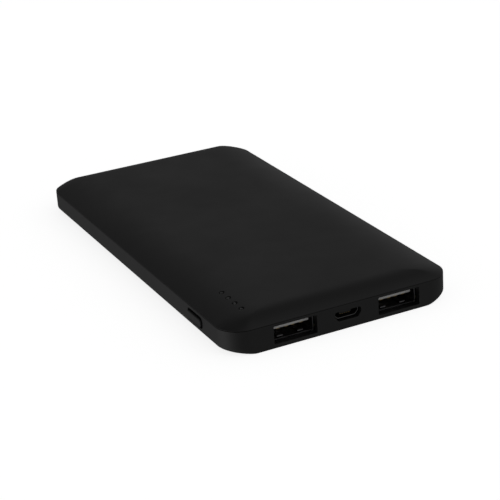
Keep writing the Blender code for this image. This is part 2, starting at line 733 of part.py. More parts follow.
def add_switch(shop):
    """A side-acting tactile switch: housing, spring dome and plunger."""
    half = SWITCH_LENGTH / 2
    low = (SWITCH_FRONT, BUTTON_Y - half, ON_BOARD)
    high = (SWITCH_REAR, BUTTON_Y + half, SWITCH_TOP)
    housing = shop.part("switch_housing", block(low, high), "black_plastic")
    half_y = SWITCH_POCKET[0] / 2
    half_z = SWITCH_POCKET[1] / 2
    low = (SWITCH_FRONT - CUT_PAST, BUTTON_Y - half_y, BUTTON_Z - half_z)
    shop.cut(housing, block(low, (SWITCH_POCKET_END, BUTTON_Y + half_y, BUTTON_Z + half_z)))
    origin = (PLUNGER_FRONT, BUTTON_Y, BUTTON_Z)
    place = (BUTTON_Y, BUTTON_Z)
    bar = rounded_bar_along_x(place, PLUNGER, PLUNGER_CORNER, PLUNGER_FRONT, PLUNGER_REAR, steps=2)
    shop.part("switch_plunger", centred_on(bar, origin), "white_plastic", origin)
    add_switch_dome(shop)


def add_switch_dome(shop):
    """A shallow sprung disc, domed towards the plunger."""
    stations = (
        (DOME_RADIUS * DOME_CROWN, DOME_THICKNESS + DOME_RISE * DOME_CROWN_RISE),
        (DOME_RADIUS, DOME_THICKNESS + DOME_RISE),
        (DOME_RADIUS, DOME_RISE),
        (DOME_RADIUS * DOME_CROWN, DOME_RISE * DOME_CROWN_RISE),
    )
    bm = bmesh.new()
    rings = []
    for radius, depth in stations:
        outline = rounded_outline(radius, radius, (radius, radius), DOME_STEPS)
        corners = dict.fromkeys((round(y, 9), round(z, 9)) for y, z in outline)
        rings.append([bm.verts.new((DOME_FACE + depth, y + BUTTON_Y, z + BUTTON_Z)) for y, z in corners])
    shop.part("switch_dome", skinned(bm, rings), "steel")


# --- electronics ----------------------------------------------------------------------------------

def add_circuit_board(shop):
    sections = evenly([(0.0, BOARD_LOW), (0.0, BOARD_HIGH)])
    middle_y = (BOARD_FRONT + BOARD_REAR) / 2
    mesh = lofted(sections, BOARD_WIDTH, BOARD_REAR - BOARD_FRONT, BOARD_CORNER, middle_y, steps=4)
    board = shop.part("circuit_board", mesh, "board")
    for x in USB_A_X.values():
        low = (x - BOARD_NOTCH / 2, BOARD_FRONT - CUT_PAST, BOARD_LOW - CUT_PAST)
        shop.cut(board, block(low, (x + BOARD_NOTCH / 2, BOARD_NOTCH_REAR, BOARD_HIGH + CUT_PAST)))
    for x, y in POST_PLACES:
        shop.cut(board, column(x, y, PIN_HOLE_RADIUS, BOARD_LOW - CUT_PAST, BOARD_HIGH + CUT_PAST))


def add_lights(shop):
    add_row(shop, "charge_led", [(LIGHT_X, y) for y in LIGHT_Y], LED_SIZE, LED_CHAMFER, "led")
    half = GUIDE_BAR_HALF
    low = (LIGHT_X - half, LIGHT_Y[-1] - GUIDE_BAR_END, GUIDE_BAR_LOW)
    high = (LIGHT_X + half, LIGHT_Y[0] + GUIDE_BAR_END, GUIDE_BAR_HIGH)
    guide = shop.part("light_guide", block(low, high), "clear_plastic")
    leg = GUIDE_LEG_HALF
    for y in LIGHT_Y:
        root = GUIDE_BAR_LOW + GUIDE_OVERLAP
        shop.join(guide, column(LIGHT_X, y, LIGHT_PIP_RADIUS, root, LIGHT_PIP_TOP))
        leg_low = (LIGHT_X - leg, y - leg, GUIDE_LEG_LOW)
        shop.join(guide, block(leg_low, (LIGHT_X + leg, y + leg, root)))


def add_chip(shop, name, middle, body, lead_count):
    """A moulded chip on bent leads, half of them on each side."""
    x, y = middle
    moulding = chamfered_box((x, y, ON_BOARD + CHIP_LIFT), body, CHIP_CHAMFER)
    chip = shop.part(name, moulding, "black_plastic")
    upper = ON_BOARD + body[2] / 2
    lower = ON_BOARD + LEAD_THICKNESS / 2
    side = body[1] / 2
    heights = (upper, upper, lower, lower)
    steps = [(side + reach, height) for reach, height in zip(CHIP_LEAD_PATH, heights)]
    row_length = lead_count // 2
    for row in range(row_length):
        lead_x = x + (row - (row_length - 1) / 2) * LEAD_PITCH
        for sign in (-1, 1):
            outline = bent_strip([(y + sign * reach, height) for reach, height in steps], LEAD_THICKNESS)
            shop.join(chip, bar_along_x(outline, lead_x - LEAD_WIDTH / 2, lead_x + LEAD_WIDTH / 2))


def add_row(shop, name, places, size, chamfer, finish):
    """The same small component at each place, numbered from 1."""
    for number, (x, y) in enumerate(places, 1):
        shop.part(f"{name}_{number}", chamfered_box((x, y, ON_BOARD), size, chamfer), finish)


def add_components(shop):
    add_chip(shop, "power_control_chip", *CONTROL_CHIP)
    add_chip(shop, "cell_protection_chip", *PROTECTION_CHIP)
    inductor = chamfered_box((*INDUCTOR_PLACE, ON_BOARD), INDUCTOR_SIZE, INDUCTOR_CHAMFER)
    shop.part("boost_inductor", inductor, "ferrite")
    add_row(shop, "ceramic_capacitor", CAPACITOR_PLACES, CAPACITOR_SIZE, CAPACITOR_CHAMFER, "ceramic")
    add_row(shop, "chip_resistor", RESISTOR_PLACES, RESISTOR_SIZE, RESISTOR_CHAMFER, "black_plastic")


# --- battery --------------------------------------------------------------------------------------

def add_cell(shop):
    length = CELL_REAR - CELL_FRONT
    middle_y = (CELL_REAR + CELL_FRONT) / 2
    lower = [(inset, CELL_LOW + rise) for inset, rise in CELL_ROUND]
    upper = [(inset, CELL_HIGH - rise) for inset, rise in reversed(CELL_ROUND)]
    mesh = lofted(evenly(lower + upper), CELL_WIDTH, length, CELL_CORNER, middle_y, steps=4)
    cell = shop.part("pouch_cell", mesh, "pouch")
    half = CELL_WIDTH / 2 - TERRACE_NARROWER
    low = (-half, CELL_FRONT - TERRACE_REACH, TERRACE_LOW)
    shop.join(cell, block(low, (half, CELL_FRONT + CUT_PAST, TERRACE_HIGH)))
    tape_low = (-half, CELL_FRONT - TERRACE_REACH + TOUCH_GAP, TERRACE_HIGH + FIT_GAP)
    tape_high = (half, CELL_FRONT - FIT_GAP, TERRACE_HIGH + 2 * FIT_GAP)
    shop.part("terrace_tape", block(tape_low, tape_high), "amber_tape")
    for sign, pole in ((-1, "negative"), (1, "positive")):
        add_tab_and_lead(shop, sign, pole)


def add_tab_and_lead(shop, sign, pole):
    """A welded strip out of the cell's front seam, and the insulated lead from it to the board."""
    rear = CELL_FRONT - TERRACE_REACH - FIT_GAP
    front = rear - TAB_LENGTH
    x = sign * TAB_X
    strip_low = (x - TAB_WIDTH / 2, front, TERRACE_LOW)
    strip_high = (x + TAB_WIDTH / 2, rear, TERRACE_LOW + TAB_THICKNESS)
    shop.part(f"cell_tab_{pole}", block(strip_low, strip_high), "nickel")
    start = Vector((x, front + LEAD_ON_TAB, strip_high[2] + FIT_GAP + LEAD_RADIUS))
    end = Vector((sign * LEAD_BOARD_X, BOARD_REAR - LEAD_BOARD_REACH, ON_BOARD + FIT_GAP / 2 + LEAD_RADIUS))
    straight = Vector((0, -LEAD_STRAIGHT, 0))
    route = bezier_points(start, start + straight, end - straight, end, LEAD_POINTS)
    shop.part(f"battery_lead_{pole}", tube(route, LEAD_RADIUS), "red_wire" if sign > 0 else "black_wire")


def bezier_points(start, leave, arrive, end, count):
    points = []
    for i in range(count):
        t = i / (count - 1)
        s = 1 - t
        points.append(s ** 3 * start + 3 * s * s * t * leave + 3 * s * t * t * arrive + t ** 3 * end)
    return points


def tube(points, radius):
    """A round wire along a list of points, made a mesh with its caps welded on."""
    curve = bpy.data.curves.new("route", "CURVE")
    curve.dimensions = "3D"
    curve.bevel_depth = radius
    curve.bevel_resolution = 2
    curve.use_fill_caps = True
    spline = curve.splines.new("POLY")
    spline.points.add(len(points) - 1)
    for spline_point, point in zip(spline.points, points):
        spline_point.co = (*point, 1.0)
    guide = bpy.data.objects.new("route", curve)
    bpy.context.scene.collection.objects.link(guide)
    graph = bpy.context.evaluated_depsgraph_get()
    mesh = bpy.data.meshes.new_from_object(guide.evaluated_get(graph))
    bpy.data.objects.remove(guide, do_unlink=True)
    bm = bmesh.new()
    bm.from_mesh(mesh)
    bmesh.ops.remove_doubles(bm, verts=bm.verts, dist=WELD)
    return finished(bm, "tube")


def add_pads(shop):
    adhesive = block((*ADHESIVE_LOW, FLOOR + FIT_GAP), (*ADHESIVE_HIGH, CELL_LOW - FIT_GAP))
    shop.part("adhesive_pad", adhesive, "adhesive")
    foam = block((*FOAM_LOW, CELL_HIGH + FIT_GAP), (*FOAM_HIGH, LID_CEILING - FIT_GAP))
    shop.part("foam_pad", foam, "foam")


def main():
    clear_scene()
    shop = Workshop()
    add_bottom_cover(shop)
    add_top_cover(shop)
    add_power_button(shop)
    add_switch(shop)
    for side in USB_A_X:
        add_usb_a(shop, side)
    add_micro_usb(shop)
    add_circuit_board(shop)
    add_lights(shop)
    add_components(shop)
    add_cell(shop)
    add_pads(shop)


main()
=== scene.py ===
# Looks of the slim power bank: fine outer shells, sockets, button and charge lights around the packed
# frame, procedural materials for every piece, a pale floor, a soft studio and the camera.
# All lengths are in metres. +X runs across the bank, +Y along it away from the sockets, and +Z up, so the
# sockets are in the front wall, at -Y.
import math

import bmesh
import bpy
from mathutils import Matrix, Vector


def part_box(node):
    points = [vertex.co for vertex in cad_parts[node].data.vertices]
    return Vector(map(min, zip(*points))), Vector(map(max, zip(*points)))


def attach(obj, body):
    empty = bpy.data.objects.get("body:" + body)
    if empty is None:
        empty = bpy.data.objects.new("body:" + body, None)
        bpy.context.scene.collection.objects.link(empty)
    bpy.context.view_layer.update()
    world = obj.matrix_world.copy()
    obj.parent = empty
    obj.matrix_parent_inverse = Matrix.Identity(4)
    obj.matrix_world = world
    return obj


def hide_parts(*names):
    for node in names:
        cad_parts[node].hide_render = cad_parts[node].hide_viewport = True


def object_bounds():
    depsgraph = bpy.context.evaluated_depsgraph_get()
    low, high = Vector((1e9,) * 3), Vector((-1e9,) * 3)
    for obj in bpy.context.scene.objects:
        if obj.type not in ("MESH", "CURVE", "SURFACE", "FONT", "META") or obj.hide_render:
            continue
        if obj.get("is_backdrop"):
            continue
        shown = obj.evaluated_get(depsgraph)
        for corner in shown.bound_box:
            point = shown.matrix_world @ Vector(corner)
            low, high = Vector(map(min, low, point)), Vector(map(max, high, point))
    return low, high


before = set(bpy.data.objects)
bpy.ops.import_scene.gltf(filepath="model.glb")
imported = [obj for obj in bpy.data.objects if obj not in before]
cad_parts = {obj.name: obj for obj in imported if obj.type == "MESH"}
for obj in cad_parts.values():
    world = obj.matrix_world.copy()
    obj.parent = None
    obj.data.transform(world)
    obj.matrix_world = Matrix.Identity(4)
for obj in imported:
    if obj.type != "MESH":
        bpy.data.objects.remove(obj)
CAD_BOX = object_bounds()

MM = 0.001


# --- sizes and places -------------------------------------------------------------------------------

def middle_of(node):
    """The middle of a node's box at rest."""
    low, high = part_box(node)
    return (low + high) / 2


# Outline and height of the case
TRAY_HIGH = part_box("bottom_cover")[1]
HALF_X = TRAY_HIGH.x
HALF_Y = TRAY_HIGH.y
FRONT = -HALF_Y
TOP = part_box("top_cover")[1].z
PLAN_RADIUS = 7.4 * MM
CORNER_FOLLOWS = 0.85
SMALLEST_CORNER = 1.6 * MM
CORNER_STEPS = 20

# Hairline seam between the tray and the lid
CAD_SEAM_GAP = 0.3 * MM
SEAM_HEIGHT = TRAY_HIGH.z + CAD_SEAM_GAP / 2
SEAM_GAP = 0.08 * MM
SEAM_EDGE_RADIUS = 0.13 * MM

# Tray
WALL = 1.9 * MM
FLOOR = 1.2 * MM
FIT_GAP = 0.2 * MM
CUT_PAST = 1.0 * MM
UNDERSIDE_ROUND_AT_SIDES = 6.9 * MM
UNDERSIDE_ROUND_AT_ENDS = 0.25 * MM
UNDERSIDE_ROUND_HEIGHT = 2.36 * MM
ROUND_STEPS = 14
RIM_STEPS = 5
RIM_CHAMFER = 0.1 * MM
INNER_ROUND = 1.8 * MM
INNER_ROUND_STEPS = 8

# Lid
CROWN_AT_SIDES = 16.0 * MM
CROWN_AT_ENDS = 7.3 * MM
CROWN_POWER = 2.9
CROWN_STEPS = 26
CROWN_CROWDING = 1.25
LID_EDGE_STEPS = 7
SKIRT = 1.0 * MM
SKIRT_BOTTOM = 6.0 * MM
SKIRT_CHAMFER = 0.15 * MM
LID_SHOULDER = 8.0 * MM
LID_SHOULDER_CHAMFER = 0.5 * MM
LID_CEILING = 8.9 * MM
LID_CEILING_STATIONS = ((6.1 * MM, 8.75 * MM), (9.8 * MM, LID_CEILING))
SKIRT_NOTCH_WIDTH = 13.7 * MM
SKIRT_NOTCH_DEPTH = 2.5 * MM
SKIRT_NOTCH_TOP = 7.0 * MM

# Snap tabs of the lid, in pockets of the tray's wall
SNAP_Y = (-28.0 * MM, 8.0 * MM, 44.0 * MM)
SNAP_LENGTH = 6.0 * MM
SNAP_REACH = 0.6 * MM
SNAP_LOW = 6.1 * MM
SNAP_HIGH = 6.7 * MM

# Posts under the circuit board
POST_FRONT_Y = -62.5 * MM
POST_REAR_Y = -42.7 * MM
POST_PLACES = (
    (-25.0 * MM, POST_FRONT_Y),
    (28.0 * MM, POST_FRONT_Y),
    (-24.0 * MM, POST_REAR_Y),
    (28.0 * MM, POST_REAR_Y),
)
POST_RADIUS = 1.8 * MM
POST_PIN_RADIUS = 0.9 * MM
POST_TOP = 3.2 * MM
POST_CHAMFER = 0.2 * MM

# Low walls on the floor around the cell
RIB_THICKNESS = 0.8 * MM
RIB_TOP = 5.4 * MM
FRONT_RIB_Y = -37.1 * MM
FRONT_RIB_X = (18.0 * MM, 28.0 * MM)
SIDE_RIB_X = 30.6 * MM
SIDE_RIB_STARTS = (-10.0 * MM, 36.0 * MM)
SIDE_RIB_LENGTH = 16.0 * MM

# USB-A shells and their openings; set-backs run from a shell's front edge
USB_A_MIDDLE = {side: middle_of(f"usb_a_{side}_shell") for side in ("left", "right")}
USB_A_HOLE = (13.0 * MM, 5.15 * MM)
USB_A_HOLE_CORNER = 0.35 * MM
SOCKET_LIP = 0.22 * MM
SOCKET_POCKET_WIDTH = 13.7 * MM
SOCKET_POCKET_LOW = 0.6 * MM
SOCKET_POCKET_HIGH = 4.1 * MM
SOCKET_POCKET_PAST = 0.3 * MM
SHEET = 0.3 * MM
USB_A_OUTSIDE = (13.1 * MM, 5.72 * MM)
USB_A_CORNER = 0.6 * MM
USB_A_CORNER_STEPS = 6
EAR_SET_BACKS = (6.0 * MM, 8.5 * MM)
EAR_LOW = 2.8 * MM
HEM_WIDTH = 11.4 * MM
HEM_DEPTH = 0.5 * MM
HEM_HEIGHT = 0.24 * MM
HEM_BEVEL = 0.06 * MM

# Sprung fingers in the roof and the floor of a USB-A shell
SPRING_X = 3.1 * MM
SPRING_WIDTH = 1.7 * MM
SPRING_THICKNESS = SHEET * 0.85
SPRING_SLOT = 0.3 * MM
SPRING_TIP = 1.4 * MM
SPRING_TIP_LENGTH = 1.3 * MM
SPRING_TIP_DROP = 0.28 * MM
SPRING_PEAK = SPRING_TIP + SPRING_TIP_LENGTH * 0.55
SPRING_ROOT = 7.0 * MM
SPRING_HELD = 0.4 * MM
SPRING_START = SPRING_ROOT - 0.8 * MM
SPRING_RISE = 0.55 * MM
SPRING_RISE_POWER = 1.3
SPRING_RISE_STEPS = 5
SPRING_TIP_STEPS = 4

# USB-A insulators: the tongue, its contact channels, and the block and sill behind it
TONGUE_HALF_WIDTH = 5.55 * MM
TONGUE_THICKNESS = 1.84 * MM
TONGUE_BEVEL = 0.16 * MM
TONGUE_BLOCK_FRONT = 2.4 * MM
TONGUE_BLOCK_REAR = 0.4 * MM
TONGUE_BLOCK_STEP = 0.1 * MM
TONGUE_BLOCK_BEVEL = 0.1 * MM
SILL_GAP = 0.75 * MM
SILL_CLEARANCE = 0.1 * MM
CHANNEL_HALF_WIDTH = 0.6 * MM
CHANNEL_SET_BACK = 0.35 * MM
CHANNEL_DEPTH = 0.12 * MM

# Micro-USB socket
MICRO_X = middle_of("micro_usb_shell").x
MICRO_TOP = 5.45 * MM
MICRO_BOTTOM = 2.7 * MM
MICRO_HOLE_WIDE = 8.0 * MM
MICRO_HOLE_NARROW = 6.0 * MM
MICRO_CORNER = 0.55 * MM
MICRO_CORNER_STEPS = 6
MICRO_WALL_GAP = 0.24 * MM
MICRO_SHEET = 0.22 * MM
MICRO_TONGUE_HALF_WIDTH = 1.9 * MM
MICRO_TONGUE_THICKNESS = 0.6 * MM
MICRO_TONGUE_BEVEL = 0.1 * MM
MICRO_BLOCK_FRONT = 1.2 * MM
MICRO_BLOCK_REAR = 0.2 * MM
MICRO_BLOCK_STEP = 0.1 * MM
MICRO_BLOCK_BEVEL = 0.08 * MM

# Power button
BUTTON_MIDDLE = Vector((-HALF_X, middle_of("power_button").y, middle_of("power_button").z))
BUTTON_PROUD = -HALF_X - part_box("power_button")[0].x
BUTTON_HOLE = (9.6 * MM, 3.2 * MM)
BUTTON_HOLE_CORNER = 1.2 * MM
BUTTON_FACE = (8.7 * MM, 2.3 * MM)
BUTTON_FACE_CORNER = 0.9 * MM
BUTTON_CORNER_STEPS = 8
BUTTON_EDGE = 0.32 * MM
BUTTON_EDGE_STEPS = 6
BUTTON_LIP = 0.28 * MM
FLANGE_FRONT = WALL + 0.3 * MM
FLANGE_REAR = FLANGE_FRONT + 0.8 * MM
FLANGE_STEP = 0.1 * MM
NIB_START = 0.2 * MM
NIB_HALF = (1.2 * MM, 0.8 * MM)
BUTTON_BACK_BEVEL = 0.12 * MM

# Charge lights and the light guide over them
LIGHT_PLACES = [middle_of(f"charge_led_{number}") for number in range(1, 5)]
LIGHT_HOLE_RADIUS = 0.75 * MM
LIGHT_HOLE_STEPS = 32
LIGHT_HOLE_DROP = 0.02 * MM
LIGHT_LIP = 0.12 * MM
PIP_RADIUS = 0.55 * MM
PIP_DOME = 0.16 * MM
PIP_DOME_STEPS = 5
PIP_ROOT = 0.3 * MM
GUIDE_BAR_LOW = 7.45 * MM
GUIDE_BAR_HIGH = 8.45 * MM
GUIDE_BEVEL = 0.12 * MM
GUIDE_LEG_HALF = 0.6 * MM
GUIDE_LEG_ROOT = 0.2 * MM
GUIDE_LEG_BEVEL = 0.08 * MM

# Rounded lips of the openings: how far a cutter flares outside the face, as shares of the lip's radius
LIP_FLARE = 1.04
LIP_START = 0.03
LIP_STEPS = 5

SMOOTH_ANGLE = math.radians(34)

# Camera: where it looks from, and how far its aim is from the middle of the underside
AZIMUTH = math.radians(24.999)
ELEVATION = math.radians(22.722)
ROLL = math.radians(-3.965)
DISTANCE = 478.162 * MM
AIM_RIGHT = 4.625 * MM
AIM_UP = -0.308 * MM
LENS_MM = 112.069
SENSOR_MM = 36.0

# Studio. Each soft source has the direction towards it, how tight it is, and its brightness.
SOFT_SOURCES = (
    ((0.0, -0.8, 0.6), 4.0, 0.02),
    ((0.45, -0.8, 0.5), 4.0, 0.34),
    ((-1.0, 0.1, -0.45), 6.0, 0.80),
    ((0.6, 0.8, 0.25), 8.0, 0.13),
    ((1.0, 0.0, 0.3), 6.0, 0.08),
    ((0.0, -0.3, -1.0), 2.0, 0.04),
)
SURROUND = 0.15
BACKDROP = (0.99, 0.99, 0.99, 1.0)
FLOOR_REACH = 6.0
FLOOR_SQUARES = 8
FLOOR_GLOW = 0.83


# --- mesh tools -------------------------------------------------------------------------------------

def mesh_from(bm, name):
    """A mesh with its faces pointing out. The bmesh is used up."""
    bmesh.ops.recalc_face_normals(bm, faces=bm.faces)
    mesh = bpy.data.meshes.new(name)
    bm.to_mesh(mesh)
    bm.free()
    return mesh


def skin(rings, loop=False):
    """Faces between each ring of points and the next. The ends are closed, or joined for a loop."""
    bm = bmesh.new()
    made = [[bm.verts.new(point) for point in ring] for ring in rings]
    pairs = list(zip(made, made[1:]))
    if loop:
        pairs.append((made[-1], made[0]))
    for ring, following in pairs:
        for i in range(len(ring)):
            j = (i + 1) % len(ring)
            bm.faces.new((ring[i], ring[j], following[j], following[i]))
    if not loop:
        bm.faces.new(made[0])
        bm.faces.new(made[-1])
    return mesh_from(bm, "skin")


def joined(meshes):
    """One mesh that holds several separate closed meshes."""
    bm = bmesh.new()
    for mesh in meshes:
        bm.from_mesh(mesh)
        bpy.data.meshes.remove(mesh)
    return mesh_from(bm, "joined")


def arc(start, end, steps):
    """Angles in radians from start to end degrees, both included."""
    return [math.radians(start + (end - start) * step / steps) for step in range(steps + 1)]


def elliptical_rectangle(half_u, half_v, radius_u, radius_v, steps):
    """Points round a rectangle with elliptical corners, anticlockwise."""
    points = []
    for quarter, (sign_u, sign_v) in enumerate(((1, 1), (-1, 1), (-1, -1), (1, -1))):
        for angle in arc(90 * quarter, 90 * (quarter + 1), steps):
            u = sign_u * (half_u - radius_u) + radius_u * math.cos(angle)
            v = sign_v * (half_v - radius_v) + radius_v * math.sin(angle)
            points.append((u, v))
    return points


def rounded_rectangle(half_u, half_v, radius, steps):
    """Points round a rectangle with round corners, anticlockwise."""
    return elliptical_rectangle(half_u, half_v, radius, radius, steps)


def rounded_polygon(corners, radius, steps):
    """Points round a convex polygon, given anticlockwise, with each corner rounded by an arc."""
    points = []
    for i, corner in enumerate(corners):
        here = Vector(corner)
        back = (Vector(corners[i - 1]) - here).normalized()
        ahead = (Vector(corners[(i + 1) % len(corners)]) - here).normalized()
        half_angle = back.angle(ahead) / 2
        reach = radius / math.tan(half_angle)
        centre = here + (back + ahead).normalized() * radius / math.sin(half_angle)
        first = here + back * reach - centre
        turn = math.pi - 2 * half_angle
        for step in range(steps + 1):
            angle = turn * step / steps
            cosine = math.cos(angle)
            sine = math.sin(angle)
            offset = Vector((first.x * cosine - first.y * sine, first.x * sine + first.y * cosine))
            points.append(tuple(centre + offset))
    return points


def corner_radius(inset):
    """Radius of the plan corner, which shrinks as the outline moves in and never becomes sharp."""
    radius = max(PLAN_RADIUS - CORNER_FOLLOWS * inset, 0.0)
    return math.hypot(radius, SMALLEST_CORNER * min(inset / PLAN_RADIUS, 1.0))


def plan_ring(inset_x, inset_y, height):
    """The bank's outline seen from above, moved in at the sides and at the ends, at one height."""
    corner = (corner_radius(inset_x), corner_radius(inset_y))
    outline = elliptical_rectangle(HALF_X - inset_x, HALF_Y - inset_y, *corner, CORNER_STEPS)
    return [(x, y, height) for x, y in outline]


def evenly(stations):
    """Stations with the same inset at the sides and at the ends, from pairs of an inset and a height."""
    return [(inset, inset, height) for inset, height in stations]


def block(low, high, bevel=0.0, steps=2):
    """A box between two opposite corners, with its edges rounded by bevel."""
    low = Vector(low)
    high = Vector(high)
    bm = bmesh.new()
    bmesh.ops.create_cube(bm, size=1.0)
    bmesh.ops.scale(bm, vec=high - low, verts=bm.verts)
    bmesh.ops.translate(bm, vec=(low + high) / 2, verts=bm.verts)
    if bevel:
        bmesh.ops.bevel(bm, geom=bm.edges[:], offset=bevel, segments=steps, profile=0.5, affect="EDGES")
    return mesh_from(bm, "block")


def turned(x, y, profile, steps=24):
    """An upright turned solid, from (radius, height) pairs listed from the bottom up."""
    rings = []
    for radius, height in profile:
        turns = [2 * math.pi * step / steps for step in range(steps)]
        rings.append([(x + radius * math.cos(turn), y + radius * math.sin(turn), height) for turn in turns])
    return skin(rings)


def strip(path, width, thickness, place):
    """A bent strip of sheet metal. path is (along, out) pairs; place(across, along, out) gives a point."""
    rings = []
    half = width / 2
    for i, point in enumerate(path):
        before = Vector(path[max(i - 1, 0)])
        after = Vector(path[min(i + 1, len(path) - 1)])
        side = (after - before).normalized().orthogonal() * thickness / 2
        upper = Vector(point) + side
        lower = Vector(point) - side
        rings.append([
            place(-half, lower.x, lower.y),
            place(half, lower.x, lower.y),
            place(half, upper.x, upper.y),
            place(-half, upper.x, upper.y),
        ])
    return skin(rings)


def lip_stations(radius, depth):
    """(grow, depth) pairs of a cutter that leaves a rounded lip where it enters a face at depth 0."""
    widest = radius * LIP_FLARE
    stations = [(widest, -CUT_PAST), (widest, -LIP_START * radius)]
    for angle in arc(90 / LIP_STEPS, 90, LIP_STEPS - 1):
        stations.append((radius * (1 - math.sin(angle)), radius * (1 - math.cos(angle))))
    stations.append((0.0, depth))
    return stations


def combine(mesh, operation, other):
    """A Boolean of two meshes, worked out at once. Both are used up."""
    first = bpy.data.objects.new("first", mesh)
    second = bpy.data.objects.new("second", other)
    for obj in (first, second):
        bpy.context.scene.collection.objects.link(obj)
    modifier = first.modifiers.new("combine", "BOOLEAN")
    modifier.operation = operation
    modifier.solver = "EXACT"
    modifier.object = second
    graph = bpy.context.evaluated_depsgraph_get()
    result = bpy.data.meshes.new_from_object(first.evaluated_get(graph))
    for obj in (first, second):
        used = obj.data
        bpy.data.objects.remove(obj)
        bpy.data.meshes.remove(used)
    return result


def cut(mesh, *others):
    """The mesh without the others."""
    return combine(mesh, "DIFFERENCE", joined(others))


def add(mesh, *others):
    """The mesh and the others as one body."""
    return combine(mesh, "UNION", joined(others))


def new_piece(name, mesh, material, body, slot, *replaced):
    """A visible piece that rides on a body and stands for the CAD nodes it replaces."""
    obj = bpy.data.objects.new(name, mesh)
    bpy.context.scene.collection.objects.link(obj)
    mesh.materials.clear()
    mesh.materials.append(material)
    mesh.shade_smooth()
    mesh.set_sharp_from_angle(angle=SMOOTH_ANGLE)
    weighted = obj.modifiers.new("weighted_normals", "WEIGHTED_NORMAL")
    weighted.keep_sharp = True
    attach(obj, body)
    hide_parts(*replaced)
    return obj


# --- materials --------------------------------------------------------------------------------------

class Look:
    """One procedural material: a Principled shader fed by patterns in the piece's own coordinates."""

    def __init__(self, name, roughness, metallic=0.0, **sockets):
        self.material = bpy.data.materials.new(name)
        self.material.use_nodes = True
        self.tree = self.material.node_tree
        self.shader = self.tree.nodes["Principled BSDF"]
        self.coordinates = self.tree.nodes.new("ShaderNodeTexCoord")
        self.height = None
        self.set("Roughness", roughness)
        self.set("Metallic", metallic)
        for socket, value in sockets.items():
            self.set(socket.replace("_", " "), value)

    def set(self, socket, value):
        if isinstance(value, tuple):
            value = (*value, 1.0)
        self.shader.inputs[socket].default_value = value

    def node(self, kind, **inputs):
        made = self.tree.nodes.new(kind)
        for name, value in inputs.items():
            self.feed(made.inputs[name.replace("_", " ")], value)
        return made

    def feed(self, socket, value):
        if isinstance(value, bpy.types.NodeSocket):
            self.tree.links.new(value, socket)
        else:
            socket.default_value = value

    def stretched(self, scale):
        """Coordinates in metres, stretched by a scale for each axis."""
        mapping = self.node("ShaderNodeMapping", Vector=self.coordinates.outputs["Object"], Scale=scale)
        return mapping.outputs["Vector"]

    def noise(self, size, detail=3.0, roughness=0.55, stretch=(1.0, 1.0, 1.0)):
        """Noise from 0 to 1 whose blobs are about size across."""
        vector = self.stretched(tuple(factor / size for factor in stretch))
        made = self.node("ShaderNodeTexNoise", Vector=vector, Scale=1.0, Detail=detail, Roughness=roughness)
        return made.outputs["Fac"]

    def cells(self, size, feature="F1"):
        """Distances in a pattern of cells about size across."""
        made = self.node("ShaderNodeTexVoronoi", Vector=self.stretched((1.0 / size,) * 3), Scale=1.0)
        made.feature = feature
        return made.outputs["Distance"]

    def ramp(self, value, low, high, low_out=0.0, high_out=1.0, smooth=False):
        """A value moved from the range low to high into another range, and held at its ends."""
        made = self.node("ShaderNodeMapRange", Value=value)
        made.interpolation_type = "SMOOTHSTEP" if smooth else "LINEAR"
        made.inputs["From Min"].default_value = low
        made.inputs["From Max"].default_value = high
        made.inputs["To Min"].default_value = low_out
        made.inputs["To Max"].default_value = high_out
        return made.outputs["Result"]

    def maths(self, operation, first, second=0.0):
        made = self.tree.nodes.new("ShaderNodeMath")
        made.operation = operation
        self.feed(made.inputs[0], first)
        self.feed(made.inputs[1], second)
        return made.outputs[0]

    def mix(self, factor, first, second):
        """A colour between two colours, or between two colour outputs."""
        made = self.tree.nodes.new("ShaderNodeMix")
        made.data_type = "RGBA"
        self.feed(made.inputs[0], factor)
        for socket, colour in ((made.inputs[6], first), (made.inputs[7], second)):
            self.feed(socket, (*colour, 1.0) if isinstance(colour, tuple) else colour)
        return made.outputs[2]

    def axis(self, name, kind="Object"):
        """One coordinate: metres for Object, or 0 to 1 across the piece for Generated."""
        made = self.node("ShaderNodeSeparateXYZ", Vector=self.coordinates.outputs[kind])
        return made.outputs[name]

    def colour(self, value):
        self.feed(self.shader.inputs["Base Color"], value)

    def rough(self, value):
        self.feed(self.shader.inputs["Roughness"], value)

    def relief(self, value, depth, strength=1.0):
        """Adds bumps of this depth, in metres, to what the surface already has."""
        bump = self.node("ShaderNodeBump", Height=value, Distance=depth, Strength=strength)
        if self.height is not None:
            self.tree.links.new(self.height, bump.inputs["Normal"])
        self.height = bump.outputs["Normal"]
        self.tree.links.new(self.height, self.shader.inputs["Normal"])


def soft_touch(name, tone):
    """Matt black moulded case: a fine eroded grain, faint cloudiness, and slightly polished seam edges."""
    look = Look(name, 0.46, Specular_IOR_Level=0.5)
    cloud = look.noise(18 * MM, detail=2.0)
    grain = look.noise(0.16 * MM, detail=4.0, roughness=0.7)
    speckle = look.noise(0.5 * MM, detail=2.0)
    dark = tuple(0.90 * part for part in tone)
    light = tuple(1.10 * part for part in tone)
    mottle = look.maths("ADD", look.maths("MULTIPLY", cloud, 0.6), look.maths("MULTIPLY", speckle, 0.4))
    look.colour(look.mix(look.ramp(mottle, 0.35, 0.65), dark, light))
    seam = look.maths("ABSOLUTE", look.maths("SUBTRACT", look.axis("Z"), SEAM_HEIGHT))
    polish = look.ramp(seam, 0.1 * MM, 0.5 * MM, -0.05, 0.0, smooth=True)
    base = look.ramp(cloud, 0.3, 0.7, 0.44, 0.50)
    texture = look.ramp(grain, 0.3, 0.7, -0.02, 0.02)
    look.rough(look.maths("ADD", look.maths("ADD", base, texture), polish))
    look.relief(grain, 0.004 * MM, 0.6)
    look.relief(speckle, 0.004 * MM, 0.3)
    return look.material


